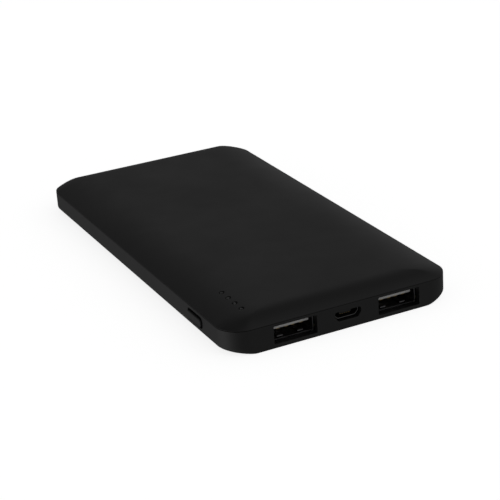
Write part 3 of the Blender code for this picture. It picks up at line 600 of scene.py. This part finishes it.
def plain_moulding(name, tone, roughness, spread=0.04, grain=0.25 * MM, **sockets):
    """Moulded plastic with flow marks and a fine grain."""
    look = Look(name, roughness, **sockets)
    flow = look.noise(2.5 * MM, detail=2.0, stretch=(1.0, 0.3, 1.0))
    fine = look.noise(grain, detail=3.0)
    look.colour(look.mix(flow, tuple(part * (1 - 2 * spread) for part in tone), tone))
    look.rough(look.ramp(fine, 0.3, 0.7, roughness - 0.05, roughness + 0.05))
    look.relief(fine, 0.003 * MM, 0.5)
    return look.material


def metal(name, tone, roughness, stretch=(1.0, 0.12, 1.0), size=0.25 * MM, tarnish=0.12):
    """Rolled or plated metal: fine lines along the strip, and faint clouds of tarnish."""
    look = Look(name, roughness, metallic=1.0)
    lines = look.noise(size, detail=4.0, roughness=0.6, stretch=stretch)
    cloud = look.noise(3.0 * MM, detail=2.0)
    look.colour(look.mix(look.ramp(cloud, 0.3, 0.7), tuple(part * (1 - tarnish) for part in tone), tone))
    smudge = look.ramp(cloud, 0.3, 0.7, -0.05, 0.05)
    look.rough(look.maths("ADD", look.ramp(lines, 0.3, 0.7, roughness - 0.06, roughness + 0.06), smudge))
    look.relief(lines, 0.003 * MM, 0.6)
    return look.material


def light_guide_plastic():
    """Smoky clear plastic with faint clouds in it."""
    look = Look("light_guide_plastic", 0.2, Transmission_Weight=0.9, IOR=1.49)
    flow = look.noise(1.2 * MM, detail=2.0)
    look.colour(look.mix(flow, (0.30, 0.31, 0.32), (0.42, 0.43, 0.44)))
    look.rough(look.ramp(flow, 0.3, 0.7, 0.15, 0.3))
    look.relief(flow, 0.004 * MM, 0.4)
    return look.material


def board_mask():
    """Green solder mask over copper tracks, with a woven edge of bare laminate."""
    look = Look("board_solder_mask", 0.32, Coat_Weight=0.3, Coat_Roughness=0.15)
    cells = look.cells(2.6 * MM, feature="DISTANCE_TO_EDGE")
    track = look.ramp(cells, 0.06, 0.09, 1.0, 0.0)
    vias = look.ramp(look.cells(3.4 * MM), 0.07, 0.10, 1.0, 0.0)
    mask = look.mix(track, (0.006, 0.085, 0.035), (0.012, 0.135, 0.055))
    mask = look.mix(vias, mask, (0.40, 0.33, 0.20))
    low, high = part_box("circuit_board")
    from_faces = look.maths("ABSOLUTE", look.maths("SUBTRACT", look.axis("Z"), (low.z + high.z) / 2))
    edge = look.ramp(from_faces, (high.z - low.z) * 0.44, (high.z - low.z) * 0.48, 1.0, 0.0)
    weave = look.noise(0.3 * MM, detail=2.0, stretch=(1.0, 1.0, 4.0))
    laminate = look.mix(weave, (0.32, 0.29, 0.13), (0.46, 0.42, 0.22))
    look.colour(look.mix(edge, mask, laminate))
    look.rough(look.ramp(look.noise(0.4 * MM), 0.3, 0.7, 0.28, 0.40))
    look.relief(track, 0.03 * MM, 0.6)
    return look.material


def end_capped(name, body, cap, share, roughness=0.5):
    """A small chip part: a ceramic body with a tinned band on each end along its length."""
    look = Look(name, roughness)
    from_middle = look.maths("ABSOLUTE", look.maths("SUBTRACT", look.axis("Y", "Generated"), 0.5))
    ends = look.ramp(from_middle, 0.5 - share, 0.5 - share * 0.9)
    fine = look.noise(0.12 * MM, detail=3.0)
    look.colour(look.mix(ends, look.mix(fine, tuple(part * 0.85 for part in body), body), cap))
    look.feed(look.shader.inputs["Metallic"], ends)
    look.rough(look.ramp(fine, 0.3, 0.7, roughness - 0.1, roughness + 0.05))
    look.relief(fine, 0.004 * MM, 0.5)
    return look.material


def chip_moulding():
    """Dark epoxy with a fine grain; the leads at its two ends along Y are tinned."""
    look = Look("chip_epoxy", 0.55)
    fine = look.noise(0.1 * MM, detail=4.0)
    sides = look.maths("ABSOLUTE", look.maths("SUBTRACT", look.axis("Y", "Generated"), 0.5))
    leads = look.ramp(sides, 0.352, 0.36)
    epoxy = look.mix(fine, (0.014, 0.014, 0.015), (0.026, 0.026, 0.028))
    look.colour(look.mix(leads, epoxy, (0.62, 0.61, 0.58)))
    look.feed(look.shader.inputs["Metallic"], leads)
    look.rough(look.ramp(fine, 0.3, 0.7, 0.45, 0.62))
    look.relief(fine, 0.005 * MM, 0.6)
    return look.material


def light_emitter_package():
    """White reflector package with a yellow phosphor window in its middle."""
    look = Look("led_package", 0.4)
    across = look.maths("ABSOLUTE", look.maths("SUBTRACT", look.axis("X", "Generated"), 0.5))
    along = look.maths("ABSOLUTE", look.maths("SUBTRACT", look.axis("Y", "Generated"), 0.5))
    window = look.ramp(look.maths("MAXIMUM", across, along), 0.27, 0.30, 1.0, 0.0)
    fine = look.noise(0.1 * MM)
    white = look.mix(fine, (0.70, 0.70, 0.68), (0.80, 0.80, 0.78))
    look.colour(look.mix(window, white, (0.80, 0.62, 0.12)))
    look.rough(look.ramp(fine, 0.3, 0.7, 0.35, 0.45))
    return look.material


def pouch_foil():
    """Matt aluminium laminate with shallow wrinkles and a pressed grain."""
    look = Look("pouch_foil", 0.38, metallic=0.9)
    wrinkle = look.noise(9 * MM, detail=3.0, stretch=(1.0, 0.5, 1.0))
    grain = look.noise(0.35 * MM, detail=2.0)
    look.colour(look.mix(wrinkle, (0.60, 0.61, 0.62), (0.74, 0.75, 0.76)))
    look.rough(look.ramp(grain, 0.3, 0.7, 0.32, 0.45))
    look.relief(wrinkle, 0.12 * MM, 0.35)
    look.relief(grain, 0.01 * MM, 0.5)
    return look.material


def film(name, tone, roughness, **sockets):
    """Thin tape or label stock, with slight creases and fibres."""
    look = Look(name, roughness, **sockets)
    crease = look.noise(6 * MM, detail=3.0, stretch=(0.4, 1.0, 1.0))
    fibre = look.noise(0.4 * MM, detail=3.0, stretch=(1.0, 0.25, 1.0))
    look.colour(look.mix(fibre, tuple(part * 0.88 for part in tone), tone))
    look.rough(look.ramp(fibre, 0.3, 0.7, roughness - 0.06, roughness + 0.06))
    look.relief(crease, 0.05 * MM, 0.3)
    look.relief(fibre, 0.008 * MM, 0.4)
    return look.material


def open_cell_foam():
    """Black foam: small open cells, with painted shade darkening their bottoms."""
    look = Look("open_cell_foam", 0.95, Sheen_Weight=0.15)
    cells = look.cells(0.45 * MM)
    # Painted shade: the colour darkens towards each cell's middle, the bottom of its pit.
    look.colour(look.mix(look.ramp(cells, 0.1, 0.7), (0.012, 0.012, 0.013), (0.055, 0.055, 0.058)))
    look.rough(look.ramp(cells, 0.0, 0.8, 0.85, 1.0))
    look.relief(cells, 0.12 * MM, 0.8)
    return look.material


# --- case -------------------------------------------------------------------------------------------

def front_place(middle):
    """Turns (across, up, depth behind the front wall) into a point."""
    return lambda u, v, depth: (middle.x + u, FRONT + depth, middle.z + v)


def side_place(middle):
    """Turns (along, up, depth behind the left wall) into a point."""
    return lambda u, v, depth: (middle.x + depth, middle.y + u, middle.z + v)


def rectangle_cutter(size, corner, lip, depth, place, steps=8):
    """A cutter for a rectangular opening whose outer edge is rounded by lip."""
    rings = []
    for grow, along in lip_stations(lip, depth):
        outline = rounded_rectangle(size[0] / 2 + grow, size[1] / 2 + grow, corner + grow, steps)
        rings.append([place(u, v, along) for u, v in outline])
    return skin(rings)


def micro_outline(grow):
    """The micro-USB shape, wide side up, grown outwards by grow, as (across, height) pairs."""
    wide = MICRO_HOLE_WIDE / 2 + grow
    narrow = MICRO_HOLE_NARROW / 2 + grow
    top = MICRO_TOP + grow
    bottom = MICRO_BOTTOM - grow
    shoulder = (MICRO_TOP + MICRO_BOTTOM) / 2
    right = [(narrow, bottom), (wide, shoulder), (wide, top)]
    left = [(-x, z) for x, z in reversed(right)]
    return rounded_polygon(right + left, MICRO_CORNER + grow, MICRO_CORNER_STEPS)


def micro_ring(grow, depth):
    """The micro-USB shape at a depth behind the front wall."""
    return [(MICRO_X + x, FRONT + depth, z) for x, z in micro_outline(grow)]


def snap_blocks(reach, clearance):
    """Blocks that stand out of the lid's skirt on both long sides."""
    skirt_x = HALF_X - WALL - FIT_GAP
    blocks = []
    for sign in (-1, 1):
        for y in SNAP_Y:
            x_ends = sorted((sign * (skirt_x - SKIRT / 2), sign * (skirt_x + reach)))
            low = (x_ends[0], y - SNAP_LENGTH / 2 - clearance, SNAP_LOW - clearance)
            high = (x_ends[1], y + SNAP_LENGTH / 2 + clearance, SNAP_HIGH + clearance)
            blocks.append(block(low, high))
    return blocks


def crown_height(share):
    """Height of the crowned top at a share of the way from the seam to the flat middle."""
    low = SEAM_HEIGHT + SEAM_GAP / 2
    return low + (TOP - low) * (1 - (1 - share) ** CROWN_POWER)


def lid_sections():
    """Stations down the crown, round the seam edge, and back up inside the lid."""
    low = SEAM_HEIGHT + SEAM_GAP / 2
    radius = SEAM_EDGE_RADIUS
    slope = math.degrees(math.atan(CROWN_POWER * (TOP - low) / CROWN_AT_SIDES))
    edge = []
    for angle in arc(90 - slope, -90, LID_EDGE_STEPS):
        edge.append((radius * (1 - math.cos(angle)), low + radius * (1 + math.sin(angle))))
    start_inset, start_height = edge[0]
    crown = []
    for step in range(CROWN_STEPS, 0, -1):
        share = (step / CROWN_STEPS) ** CROWN_CROWDING
        height = start_height + (TOP - start_height) * (1 - (1 - share) ** CROWN_POWER)
        at_side = start_inset + (CROWN_AT_SIDES - start_inset) * share
        at_end = start_inset + (CROWN_AT_ENDS - start_inset) * share
        crown.append((at_side, at_end, height))
    skirt_outside = WALL + FIT_GAP
    inside = [
        (skirt_outside, low),
        (skirt_outside, SKIRT_BOTTOM + SKIRT_CHAMFER),
        (skirt_outside + SKIRT_CHAMFER, SKIRT_BOTTOM),
        (skirt_outside + SKIRT, SKIRT_BOTTOM),
        (skirt_outside + SKIRT, LID_SHOULDER - LID_SHOULDER_CHAMFER),
        (skirt_outside + SKIRT + LID_SHOULDER_CHAMFER, LID_SHOULDER),
        *LID_CEILING_STATIONS,
    ]
    return crown + evenly(edge + inside)


def tray_sections():
    """Stations up the rounded lower edge and the wall, over the rim, and down inside."""
    outside = []
    for angle in arc(0, 90, ROUND_STEPS):
        share = 1 - math.sin(angle)
        height = UNDERSIDE_ROUND_HEIGHT * (1 - math.cos(angle))
        outside.append((UNDERSIDE_ROUND_AT_SIDES * share, UNDERSIDE_ROUND_AT_ENDS * share, height))
    rim = SEAM_HEIGHT - SEAM_GAP / 2
    radius = SEAM_EDGE_RADIUS
    edge = []
    for angle in arc(0, 90, RIM_STEPS):
        edge.append((radius * (1 - math.cos(angle)), rim - radius * (1 - math.sin(angle))))
    inner = [(WALL - RIM_CHAMFER, rim), (WALL, rim - RIM_CHAMFER)]
    for angle in arc(0, 90, INNER_ROUND_STEPS):
        inset = WALL + INNER_ROUND * (1 - math.cos(angle))
        inner.append((inset, FLOOR + INNER_ROUND * (1 - math.sin(angle))))
    return outside + evenly(edge + inner)


def make_lid(material):
    """The crowned lid with its skirt and snap tabs, notched over the sockets, and with the light holes."""
    mesh = skin([plan_ring(*station) for station in lid_sections()])
    mesh = add(mesh, *snap_blocks(SNAP_REACH, 0.0))
    half = SKIRT_NOTCH_WIDTH / 2
    front = FRONT + WALL
    cutters = []
    for middle in USB_A_MIDDLE.values():
        low = (middle.x - half, front, SKIRT_BOTTOM - CUT_PAST)
        cutters.append(block(low, (middle.x + half, front + SKIRT_NOTCH_DEPTH, SKIRT_NOTCH_TOP)))
    for place in LIGHT_PLACES:
        surface = crown_height((place.x + HALF_X) / CROWN_AT_SIDES) - LIGHT_HOLE_DROP
        profile = [(LIGHT_HOLE_RADIUS, LID_CEILING - CUT_PAST)]
        for grow, depth_in in reversed(lip_stations(LIGHT_LIP, LIGHT_LIP * 2)):
            profile.append((LIGHT_HOLE_RADIUS + grow, surface - depth_in))
        cutters.append(turned(place.x, place.y, profile, LIGHT_HOLE_STEPS))
    new_piece("top_shell", cut(mesh, *cutters), material, "case", "case_black", "top_cover")


def make_tray(material):
    """The tray with its posts and ribs, cut out for the sockets, the button and the snap tabs."""
    mesh = skin([plan_ring(*station) for station in tray_sections()])
    mesh = add(mesh, *board_posts(), *cell_ribs())
    through = WALL + CUT_PAST
    cutters = []
    for middle in USB_A_MIDDLE.values():
        place = front_place(middle)
        cutters.append(rectangle_cutter(USB_A_HOLE, USB_A_HOLE_CORNER, SOCKET_LIP, through, place))
    cutters.append(skin([micro_ring(*station) for station in lip_stations(SOCKET_LIP, through)]))
    place = side_place(BUTTON_MIDDLE)
    cutters.append(rectangle_cutter(BUTTON_HOLE, BUTTON_HOLE_CORNER, BUTTON_LIP, through, place))
    mesh = cut(mesh, *cutters, *snap_blocks(SNAP_REACH + FIT_GAP, FIT_GAP))
    half = SOCKET_POCKET_WIDTH / 2
    pockets = []
    for side, middle in USB_A_MIDDLE.items():
        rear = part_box(f"usb_a_{side}_shell")[1].y + SOCKET_POCKET_PAST
        low = (middle.x - half, FRONT + WALL, SOCKET_POCKET_LOW)
        pockets.append(block(low, (middle.x + half, rear, SOCKET_POCKET_HIGH)))
    new_piece("bottom_shell", cut(mesh, *pockets), material, "case", "case_black", "bottom_cover")


def board_posts():
    """Stepped posts that the circuit board sits on, with a pin through each hole of the board."""
    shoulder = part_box("circuit_board")[0].z - FIT_GAP
    profile = [
        (POST_RADIUS, FLOOR / 2),
        (POST_RADIUS, shoulder),
        (POST_PIN_RADIUS, shoulder),
        (POST_PIN_RADIUS, POST_TOP - POST_CHAMFER),
        (POST_PIN_RADIUS - POST_CHAMFER, POST_TOP),
    ]
    return [turned(x, y, profile) for x, y in POST_PLACES]


def cell_ribs():
    """Low walls on the floor that keep the cell in place: two in front of it and two on each side."""
    ribs = []
    for sign in (-1, 1):
        near, far = sorted(sign * x for x in FRONT_RIB_X)
        ribs.append(block((near, FRONT_RIB_Y, FLOOR / 2), (far, FRONT_RIB_Y + RIB_THICKNESS, RIB_TOP)))
        near, far = sorted((sign * SIDE_RIB_X, sign * (SIDE_RIB_X + RIB_THICKNESS)))
        for start in SIDE_RIB_STARTS:
            ribs.append(block((near, start, FLOOR / 2), (far, start + SIDE_RIB_LENGTH, RIB_TOP)))
    return ribs


# --- sockets ----------------------------------------------------------------------------------------

def sleeve(outline_at, thickness, front, rear, steps=4):
    """A sheet-metal sleeve with rounded lips at both ends. outline_at(inset, y) gives one ring of points."""
    half = thickness / 2
    rings = []
    for angle in arc(0, 180, 2 * steps):
        rings.append(outline_at(half - half * math.cos(angle), front + half - half * math.sin(angle)))
    for angle in arc(0, 180, 2 * steps):
        rings.append(outline_at(half + half * math.cos(angle), rear - half + half * math.sin(angle)))
    return skin(rings, loop=True)


def make_usb_a(side, steel, white):
    """A USB-A shell with its ears, hem and springs, and the insulator in it."""
    low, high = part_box(f"usb_a_{side}_shell")
    middle = USB_A_MIDDLE[side]
    width, height = USB_A_OUTSIDE

    def outline_at(inset, y):
        half_u = width / 2 - inset
        half_v = height / 2 - inset
        outline = rounded_rectangle(half_u, half_v, USB_A_CORNER - inset, USB_A_CORNER_STEPS)
        return [(middle.x + u, y, middle.z + v) for u, v in outline]

    mesh = sleeve(outline_at, SHEET, low.y, high.y)
    mesh = cut(mesh, *spring_windows(middle, low.y))
    mesh = add(mesh, *ears(middle, low, high), hem(middle, low), *springs(middle, low.y))
    new_piece(f"usb_a_{side}_sleeve", mesh, steel, "case", "socket_steel", f"usb_a_{side}_shell")
    make_usb_a_insulator(side, middle, white)


def ears(middle, low, high):
    """Flat tabs on both sides of a USB-A shell, which rest on the circuit board."""
    made = []
    for sign in (-1, 1):
        root = middle.x + sign * (USB_A_OUTSIDE[0] / 2 - SHEET / 2)
        near, far = sorted((root, middle.x + sign * (high.x - middle.x)))
        ear_low = (near, low.y + EAR_SET_BACKS[0], EAR_LOW)
        made.append(block(ear_low, (far, low.y + EAR_SET_BACKS[1], EAR_LOW + SHEET)))
    return made


def hem(middle, low):
    """The lower front lip of a USB-A shell, folded back on itself."""
    hem_low = (middle.x - HEM_WIDTH / 2, low.y, low.z + SHEET / 2)
    hem_high = (middle.x + HEM_WIDTH / 2, low.y + HEM_DEPTH, low.z + SHEET + HEM_HEIGHT)
    return block(hem_low, hem_high, HEM_BEVEL)


def spring_windows(middle, front):
    """Slots in the roof and the floor of a USB-A shell, which leave room for its springs."""
    half = SPRING_WIDTH / 2 + SPRING_SLOT
    near = front + SPRING_TIP - SPRING_SLOT
    far = front + SPRING_ROOT
    deep = SHEET * 1.5
    windows = []
    for sign in (-1, 1):
        face = middle.z + sign * USB_A_OUTSIDE[1] / 2
        for x in (middle.x - SPRING_X, middle.x + SPRING_X):
            windows.append(block((x - half, near, face - deep), (x + half, far, face + deep)))
    return windows


def spring_path():
    """Middle line of a spring, as (set-back, rise into the socket), from its root to its curled tip."""
    path = [(SPRING_ROOT + SPRING_HELD, 0.0), (SPRING_START, 0.0)]
    for step in range(1, SPRING_RISE_STEPS + 1):
        share = step / SPRING_RISE_STEPS
        along = SPRING_START + (SPRING_PEAK - SPRING_START) * share
        path.append((along, SPRING_RISE * share ** SPRING_RISE_POWER))
    for step in range(1, SPRING_TIP_STEPS + 1):
        angle = math.pi / 2 * step / SPRING_TIP_STEPS
        along = SPRING_PEAK - (SPRING_PEAK - SPRING_TIP) * math.sin(angle)
        path.append((along, SPRING_RISE - SPRING_TIP_DROP * (1 - math.cos(angle))))
    return path


def spring_place(x, front, face, sign):
    """Turns (across, set-back, rise into the socket) into a point."""
    return lambda across, along, rise: (x + across, front + along, face - sign * rise)


def springs(middle, front):
    """Sprung fingers that bend into a USB-A shell, with their tips towards its mouth."""
    path = spring_path()
    made = []
    for sign in (-1, 1):
        face = middle.z + sign * (USB_A_OUTSIDE[1] / 2 - SHEET / 2)
        for x in (middle.x - SPRING_X, middle.x + SPRING_X):
            place = spring_place(x, front, face, sign)
            made.append(strip(path, SPRING_WIDTH, SPRING_THICKNESS, place))
    return made


def make_usb_a_insulator(side, middle, white):
    """The white insulator: a tongue with four contact channels, the block behind it, and a sill below."""
    low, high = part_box(f"usb_a_{side}_tongue")
    tongue_low = (middle.x - TONGUE_HALF_WIDTH, low.y, low.z)
    tongue_high = (middle.x + TONGUE_HALF_WIDTH, high.y, low.z + TONGUE_THICKNESS)
    block_front = high.y - TONGUE_BLOCK_FRONT
    block_rear = high.y - TONGUE_BLOCK_REAR
    block_low = (low.x, block_front, low.z + TONGUE_BLOCK_STEP)
    rear_block = block(block_low, (high.x, block_rear, high.z), TONGUE_BLOCK_BEVEL)
    mesh = add(block(tongue_low, tongue_high, TONGUE_BEVEL, 3), rear_block)
    channels = []
    for number in range(1, 5):
        pin = middle_of(f"usb_a_{side}_contact_{number}")
        channel_low = (pin.x - CHANNEL_HALF_WIDTH, low.y + CHANNEL_SET_BACK, low.z - CUT_PAST)
        channel_high = (pin.x + CHANNEL_HALF_WIDTH, high.y + CUT_PAST, low.z + CHANNEL_DEPTH)
        channels.append(block(channel_low, channel_high))
    shell_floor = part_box(f"usb_a_{side}_shell")[0].z + SHEET + SILL_CLEARANCE
    sill_high = (high.x, block_rear, low.z - SILL_GAP)
    sill = block((low.x, block_front, shell_floor), sill_high, TONGUE_BLOCK_BEVEL)
    mesh = joined([cut(mesh, *channels), sill])
    new_piece(f"usb_a_{side}_insulator", mesh, white, "case", "tongue_white", f"usb_a_{side}_tongue")


def make_micro_usb(steel, black):
    """The micro-USB shell and its insulator: a thin tongue and the block behind it."""
    low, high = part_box("micro_usb_shell")

    def outline_at(inset, y):
        return [(MICRO_X + x, y, z) for x, z in micro_outline(-MICRO_WALL_GAP - inset)]

    mesh = sleeve(outline_at, MICRO_SHEET, low.y, high.y)
    new_piece("micro_usb_sleeve", mesh, steel, "case", "socket_steel", "micro_usb_shell")
    low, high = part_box("micro_usb_tongue")
    middle = middle_of("micro_usb_tongue")
    tongue_low = (middle.x - MICRO_TONGUE_HALF_WIDTH, low.y, low.z)
    tongue_high = (middle.x + MICRO_TONGUE_HALF_WIDTH, high.y, low.z + MICRO_TONGUE_THICKNESS)
    block_low = (low.x, high.y - MICRO_BLOCK_FRONT, low.z + MICRO_BLOCK_STEP)
    rear_block = block(block_low, (high.x, high.y - MICRO_BLOCK_REAR, high.z), MICRO_BLOCK_BEVEL)
    mesh = add(block(tongue_low, tongue_high, MICRO_TONGUE_BEVEL), rear_block)
    new_piece("micro_usb_insulator", mesh, black, "case", "moulding_black", "micro_usb_tongue")


# --- button and charge lights -----------------------------------------------------------------------

def make_button(material):
    """The cap with softened edges, its retaining flange and the nib behind it."""
    low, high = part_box("power_button")
    place = side_place(BUTTON_MIDDLE)
    stations = []
    for angle in arc(0, 90, BUTTON_EDGE_STEPS):
        inset = BUTTON_EDGE * (1 - math.sin(angle))
        stations.append((inset, -BUTTON_PROUD + BUTTON_EDGE * (1 - math.cos(angle))))
    stations.append((0.0, FLANGE_REAR))
    rings = []
    for inset, depth in stations:
        half_u = BUTTON_FACE[0] / 2 - inset
        half_v = BUTTON_FACE[1] / 2 - inset
        outline = rounded_rectangle(half_u, half_v, BUTTON_FACE_CORNER - inset, BUTTON_CORNER_STEPS)
        rings.append([place(u, v, depth) for u, v in outline])
    half_v = BUTTON_FACE[1] / 2 - FLANGE_STEP
    flange = block(
        (-HALF_X + FLANGE_FRONT, low.y, BUTTON_MIDDLE.z - half_v),
        (-HALF_X + FLANGE_REAR - FLANGE_STEP, high.y, BUTTON_MIDDLE.z + half_v),
        BUTTON_BACK_BEVEL,
    )
    nib_start = -HALF_X + FLANGE_FRONT + NIB_START
    nib = block(
        (nib_start, BUTTON_MIDDLE.y - NIB_HALF[0], BUTTON_MIDDLE.z - NIB_HALF[1]),
        (high.x, BUTTON_MIDDLE.y + NIB_HALF[0], BUTTON_MIDDLE.z + NIB_HALF[1]),
        BUTTON_BACK_BEVEL,
    )
    mesh = add(add(skin(rings), flange), nib)
    new_piece("button_cap", mesh, material, "button", "button_black", "power_button")


def make_light_guide(material):
    """A clear bar with a domed pip in each hole of the lid and a leg over each charge light."""
    low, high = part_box("light_guide")
    bar = block((low.x, low.y, GUIDE_BAR_LOW), (high.x, high.y, GUIDE_BAR_HIGH), GUIDE_BEVEL)
    pips = []
    legs = []
    for place in LIGHT_PLACES:
        profile = [(PIP_RADIUS, GUIDE_BAR_LOW + PIP_ROOT)]
        for angle in arc(0, 80, PIP_DOME_STEPS):
            profile.append((PIP_RADIUS * math.cos(angle), high.z - PIP_DOME + PIP_DOME * math.sin(angle)))
        pips.append(turned(place.x, place.y, profile))
        leg_low = (place.x - GUIDE_LEG_HALF, place.y - GUIDE_LEG_HALF, low.z)
        leg_top = GUIDE_BAR_LOW + GUIDE_LEG_ROOT
        leg_high = (place.x + GUIDE_LEG_HALF, place.y + GUIDE_LEG_HALF, leg_top)
        legs.append(block(leg_low, leg_high, GUIDE_LEG_BEVEL))
    new_piece("light_pipe", add(bar, *pips, *legs), material, "case", "guide_clear", "light_guide")


# --- finish of the pieces that keep their CAD shape ---------------------------------------------------

def paint_inner_pieces(steel, black, white):
    """Gives each piece that keeps its CAD shape its own material."""
    # Painted shade: the gold plating's tone is set at about half its own brightness, to stand in for the
    # shade inside the sockets.
    shade_darkened_gold = metal("shade_darkened_contact_plating", (0.45, 0.33, 0.15), 0.38)
    nickel = metal("nickel_strip", (0.70, 0.68, 0.62), 0.30)
    ferrite = plain_moulding("ferrite_block", (0.085, 0.085, 0.09), 0.68, spread=0.15, grain=0.15 * MM)
    insulation = {
        "negative": ("black_insulation", (0.016, 0.016, 0.017)),
        "positive": ("red_insulation", (0.50, 0.018, 0.016)),
    }
    finishes = {
        "adhesive_pad": film("double_sided_pad", (0.80, 0.80, 0.77), 0.65),
        "foam_pad": open_cell_foam(),
        "terrace_tape": film("amber_film", (0.62, 0.30, 0.035), 0.28, Coat_Weight=0.4, Coat_Roughness=0.12),
        "pouch_cell": pouch_foil(),
        "circuit_board": board_mask(),
        "boost_inductor": ferrite,
        "switch_housing": black,
        "switch_plunger": white,
        "switch_dome": steel,
    }
    for pole, (name, tone) in insulation.items():
        finishes[f"cell_tab_{pole}"] = nickel
        finishes[f"battery_lead_{pole}"] = plain_moulding(name, tone, 0.38, Sheen_Weight=0.05)
    chip = chip_moulding()
    finishes["power_control_chip"] = chip
    finishes["cell_protection_chip"] = chip
    tin = (0.66, 0.65, 0.62)
    capacitor = end_capped("ceramic_capacitor_body", (0.52, 0.37, 0.22), tin, 0.17)
    resistor = end_capped("chip_resistor_body", (0.028, 0.028, 0.030), tin, 0.20)
    emitter = light_emitter_package()
    for number in range(1, 5):
        finishes[f"ceramic_capacitor_{number}"] = capacitor
        finishes[f"chip_resistor_{number}"] = resistor
        finishes[f"charge_led_{number}"] = emitter
        for side in USB_A_MIDDLE:
            finishes[f"usb_a_{side}_contact_{number}"] = shade_darkened_gold
    for number in range(1, 6):
        finishes[f"micro_usb_contact_{number}"] = shade_darkened_gold
    for node, material in finishes.items():
        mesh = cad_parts[node].data
        mesh.materials.clear()
        mesh.materials.append(material)


# --- studio -----------------------------------------------------------------------------------------

def make_floor():
    """A wide pale floor that only the camera sees, so that the studio light alone shapes the black case."""
    bm = bmesh.new()
    bmesh.ops.create_grid(bm, x_segments=FLOOR_SQUARES, y_segments=FLOOR_SQUARES, size=FLOOR_REACH)
    floor = bpy.data.objects.new("floor", mesh_from(bm, "floor"))
    bpy.context.scene.collection.objects.link(floor)
    look = Look("floor_paper", 0.9, Emission_Color=(1.0, 1.0, 1.0), Emission_Strength=FLOOR_GLOW)
    paper = look.noise(30 * MM, detail=2.0)
    look.colour(look.mix(paper, (0.86, 0.86, 0.86), (0.88, 0.88, 0.88)))
    floor.data.materials.append(look.material)
    floor.visible_diffuse = False
    floor.visible_glossy = False
    floor.visible_transmission = False
    floor.visible_shadow = False
    floor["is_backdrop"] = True


def make_studio():
    """A pale backdrop for the camera, and soft round sources in the surroundings for everything else."""
    world = bpy.data.worlds.new("studio")
    bpy.context.scene.world = world
    world.use_nodes = True
    tree = world.node_tree
    tree.nodes.clear()

    def maths(operation, first, second):
        made = tree.nodes.new("ShaderNodeMath")
        made.operation = operation
        for socket, value in zip(made.inputs, (first, second)):
            if isinstance(value, float):
                socket.default_value = value
            else:
                tree.links.new(value, socket)
        return made.outputs[0]

    coordinates = tree.nodes.new("ShaderNodeTexCoord")
    total = SURROUND
    for direction, tightness, brightness in SOFT_SOURCES:
        dot = tree.nodes.new("ShaderNodeVectorMath")
        dot.operation = "DOT_PRODUCT"
        tree.links.new(coordinates.outputs["Generated"], dot.inputs[0])
        dot.inputs[1].default_value = Vector(direction).normalized()
        closeness = maths("MULTIPLY", maths("SUBTRACT", dot.outputs["Value"], 1.0), tightness)
        lobe = maths("MULTIPLY", maths("EXPONENT", closeness, 0.0), brightness)
        total = maths("ADD", lobe, total)
    lit = tree.nodes.new("ShaderNodeBackground")
    tree.links.new(total, lit.inputs["Strength"])
    backdrop = tree.nodes.new("ShaderNodeBackground")
    backdrop.inputs["Color"].default_value = BACKDROP
    path = tree.nodes.new("ShaderNodeLightPath")
    chosen = tree.nodes.new("ShaderNodeMixShader")
    tree.links.new(path.outputs["Is Camera Ray"], chosen.inputs["Fac"])
    tree.links.new(lit.outputs[0], chosen.inputs[1])
    tree.links.new(backdrop.outputs[0], chosen.inputs[2])
    output = tree.nodes.new("ShaderNodeOutputWorld")
    tree.links.new(chosen.outputs[0], output.inputs["Surface"])
    bpy.context.scene.view_settings.view_transform = "Standard"


def make_camera():
    """A long lens in front of the sockets, to the left and above, slightly rolled."""
    forward = Vector((
        math.sin(AZIMUTH) * math.cos(ELEVATION),
        math.cos(AZIMUTH) * math.cos(ELEVATION),
        -math.sin(ELEVATION),
    ))
    level = Vector((math.cos(AZIMUTH), -math.sin(AZIMUTH), 0.0))
    upright = level.cross(forward)
    right = level * math.cos(ROLL) + upright * math.sin(ROLL)
    up = upright * math.cos(ROLL) - level * math.sin(ROLL)
    data = bpy.data.cameras.new("camera")
    data.lens = LENS_MM
    data.sensor_width = SENSOR_MM
    data.clip_start = 10 * MM
    camera = bpy.data.objects.new("camera", data)
    bpy.context.scene.collection.objects.link(camera)
    turn = Matrix((right, up, -forward)).transposed().to_4x4()
    camera.matrix_world = Matrix.Translation(right * AIM_RIGHT + up * AIM_UP - forward * DISTANCE) @ turn
    bpy.context.scene.camera = camera


# --- the whole scene --------------------------------------------------------------------------------

make_camera()
make_studio()
make_floor()

case_black = soft_touch("case_soft_touch", (0.0058, 0.0058, 0.0060))
button_black = soft_touch("button_soft_touch", (0.0066, 0.0066, 0.0068))
# Painted shade: the plated steel's tone is set far darker than bare nickel plating, to stand in for the
# shade inside the sockets.
shade_darkened_steel = metal("shade_darkened_nickel_plated_steel", (0.22, 0.22, 0.225), 0.36)
white_plastic = plain_moulding("tongue_plastic", (0.94, 0.94, 0.92), 0.42)
black_plastic = plain_moulding("socket_moulding", (0.015, 0.015, 0.016), 0.42)

make_lid(case_black)
make_tray(case_black)
for socket_side in USB_A_MIDDLE:
    make_usb_a(socket_side, shade_darkened_steel, white_plastic)
make_micro_usb(shade_darkened_steel, black_plastic)
make_button(button_black)
make_light_guide(light_guide_plastic())
paint_inner_pieces(shade_darkened_steel, black_plastic, white_plastic)

boxes = {"cad": CAD_BOX, "visual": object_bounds()}
{name: [list(corner) for corner in box] for name, box in boxes.items()}
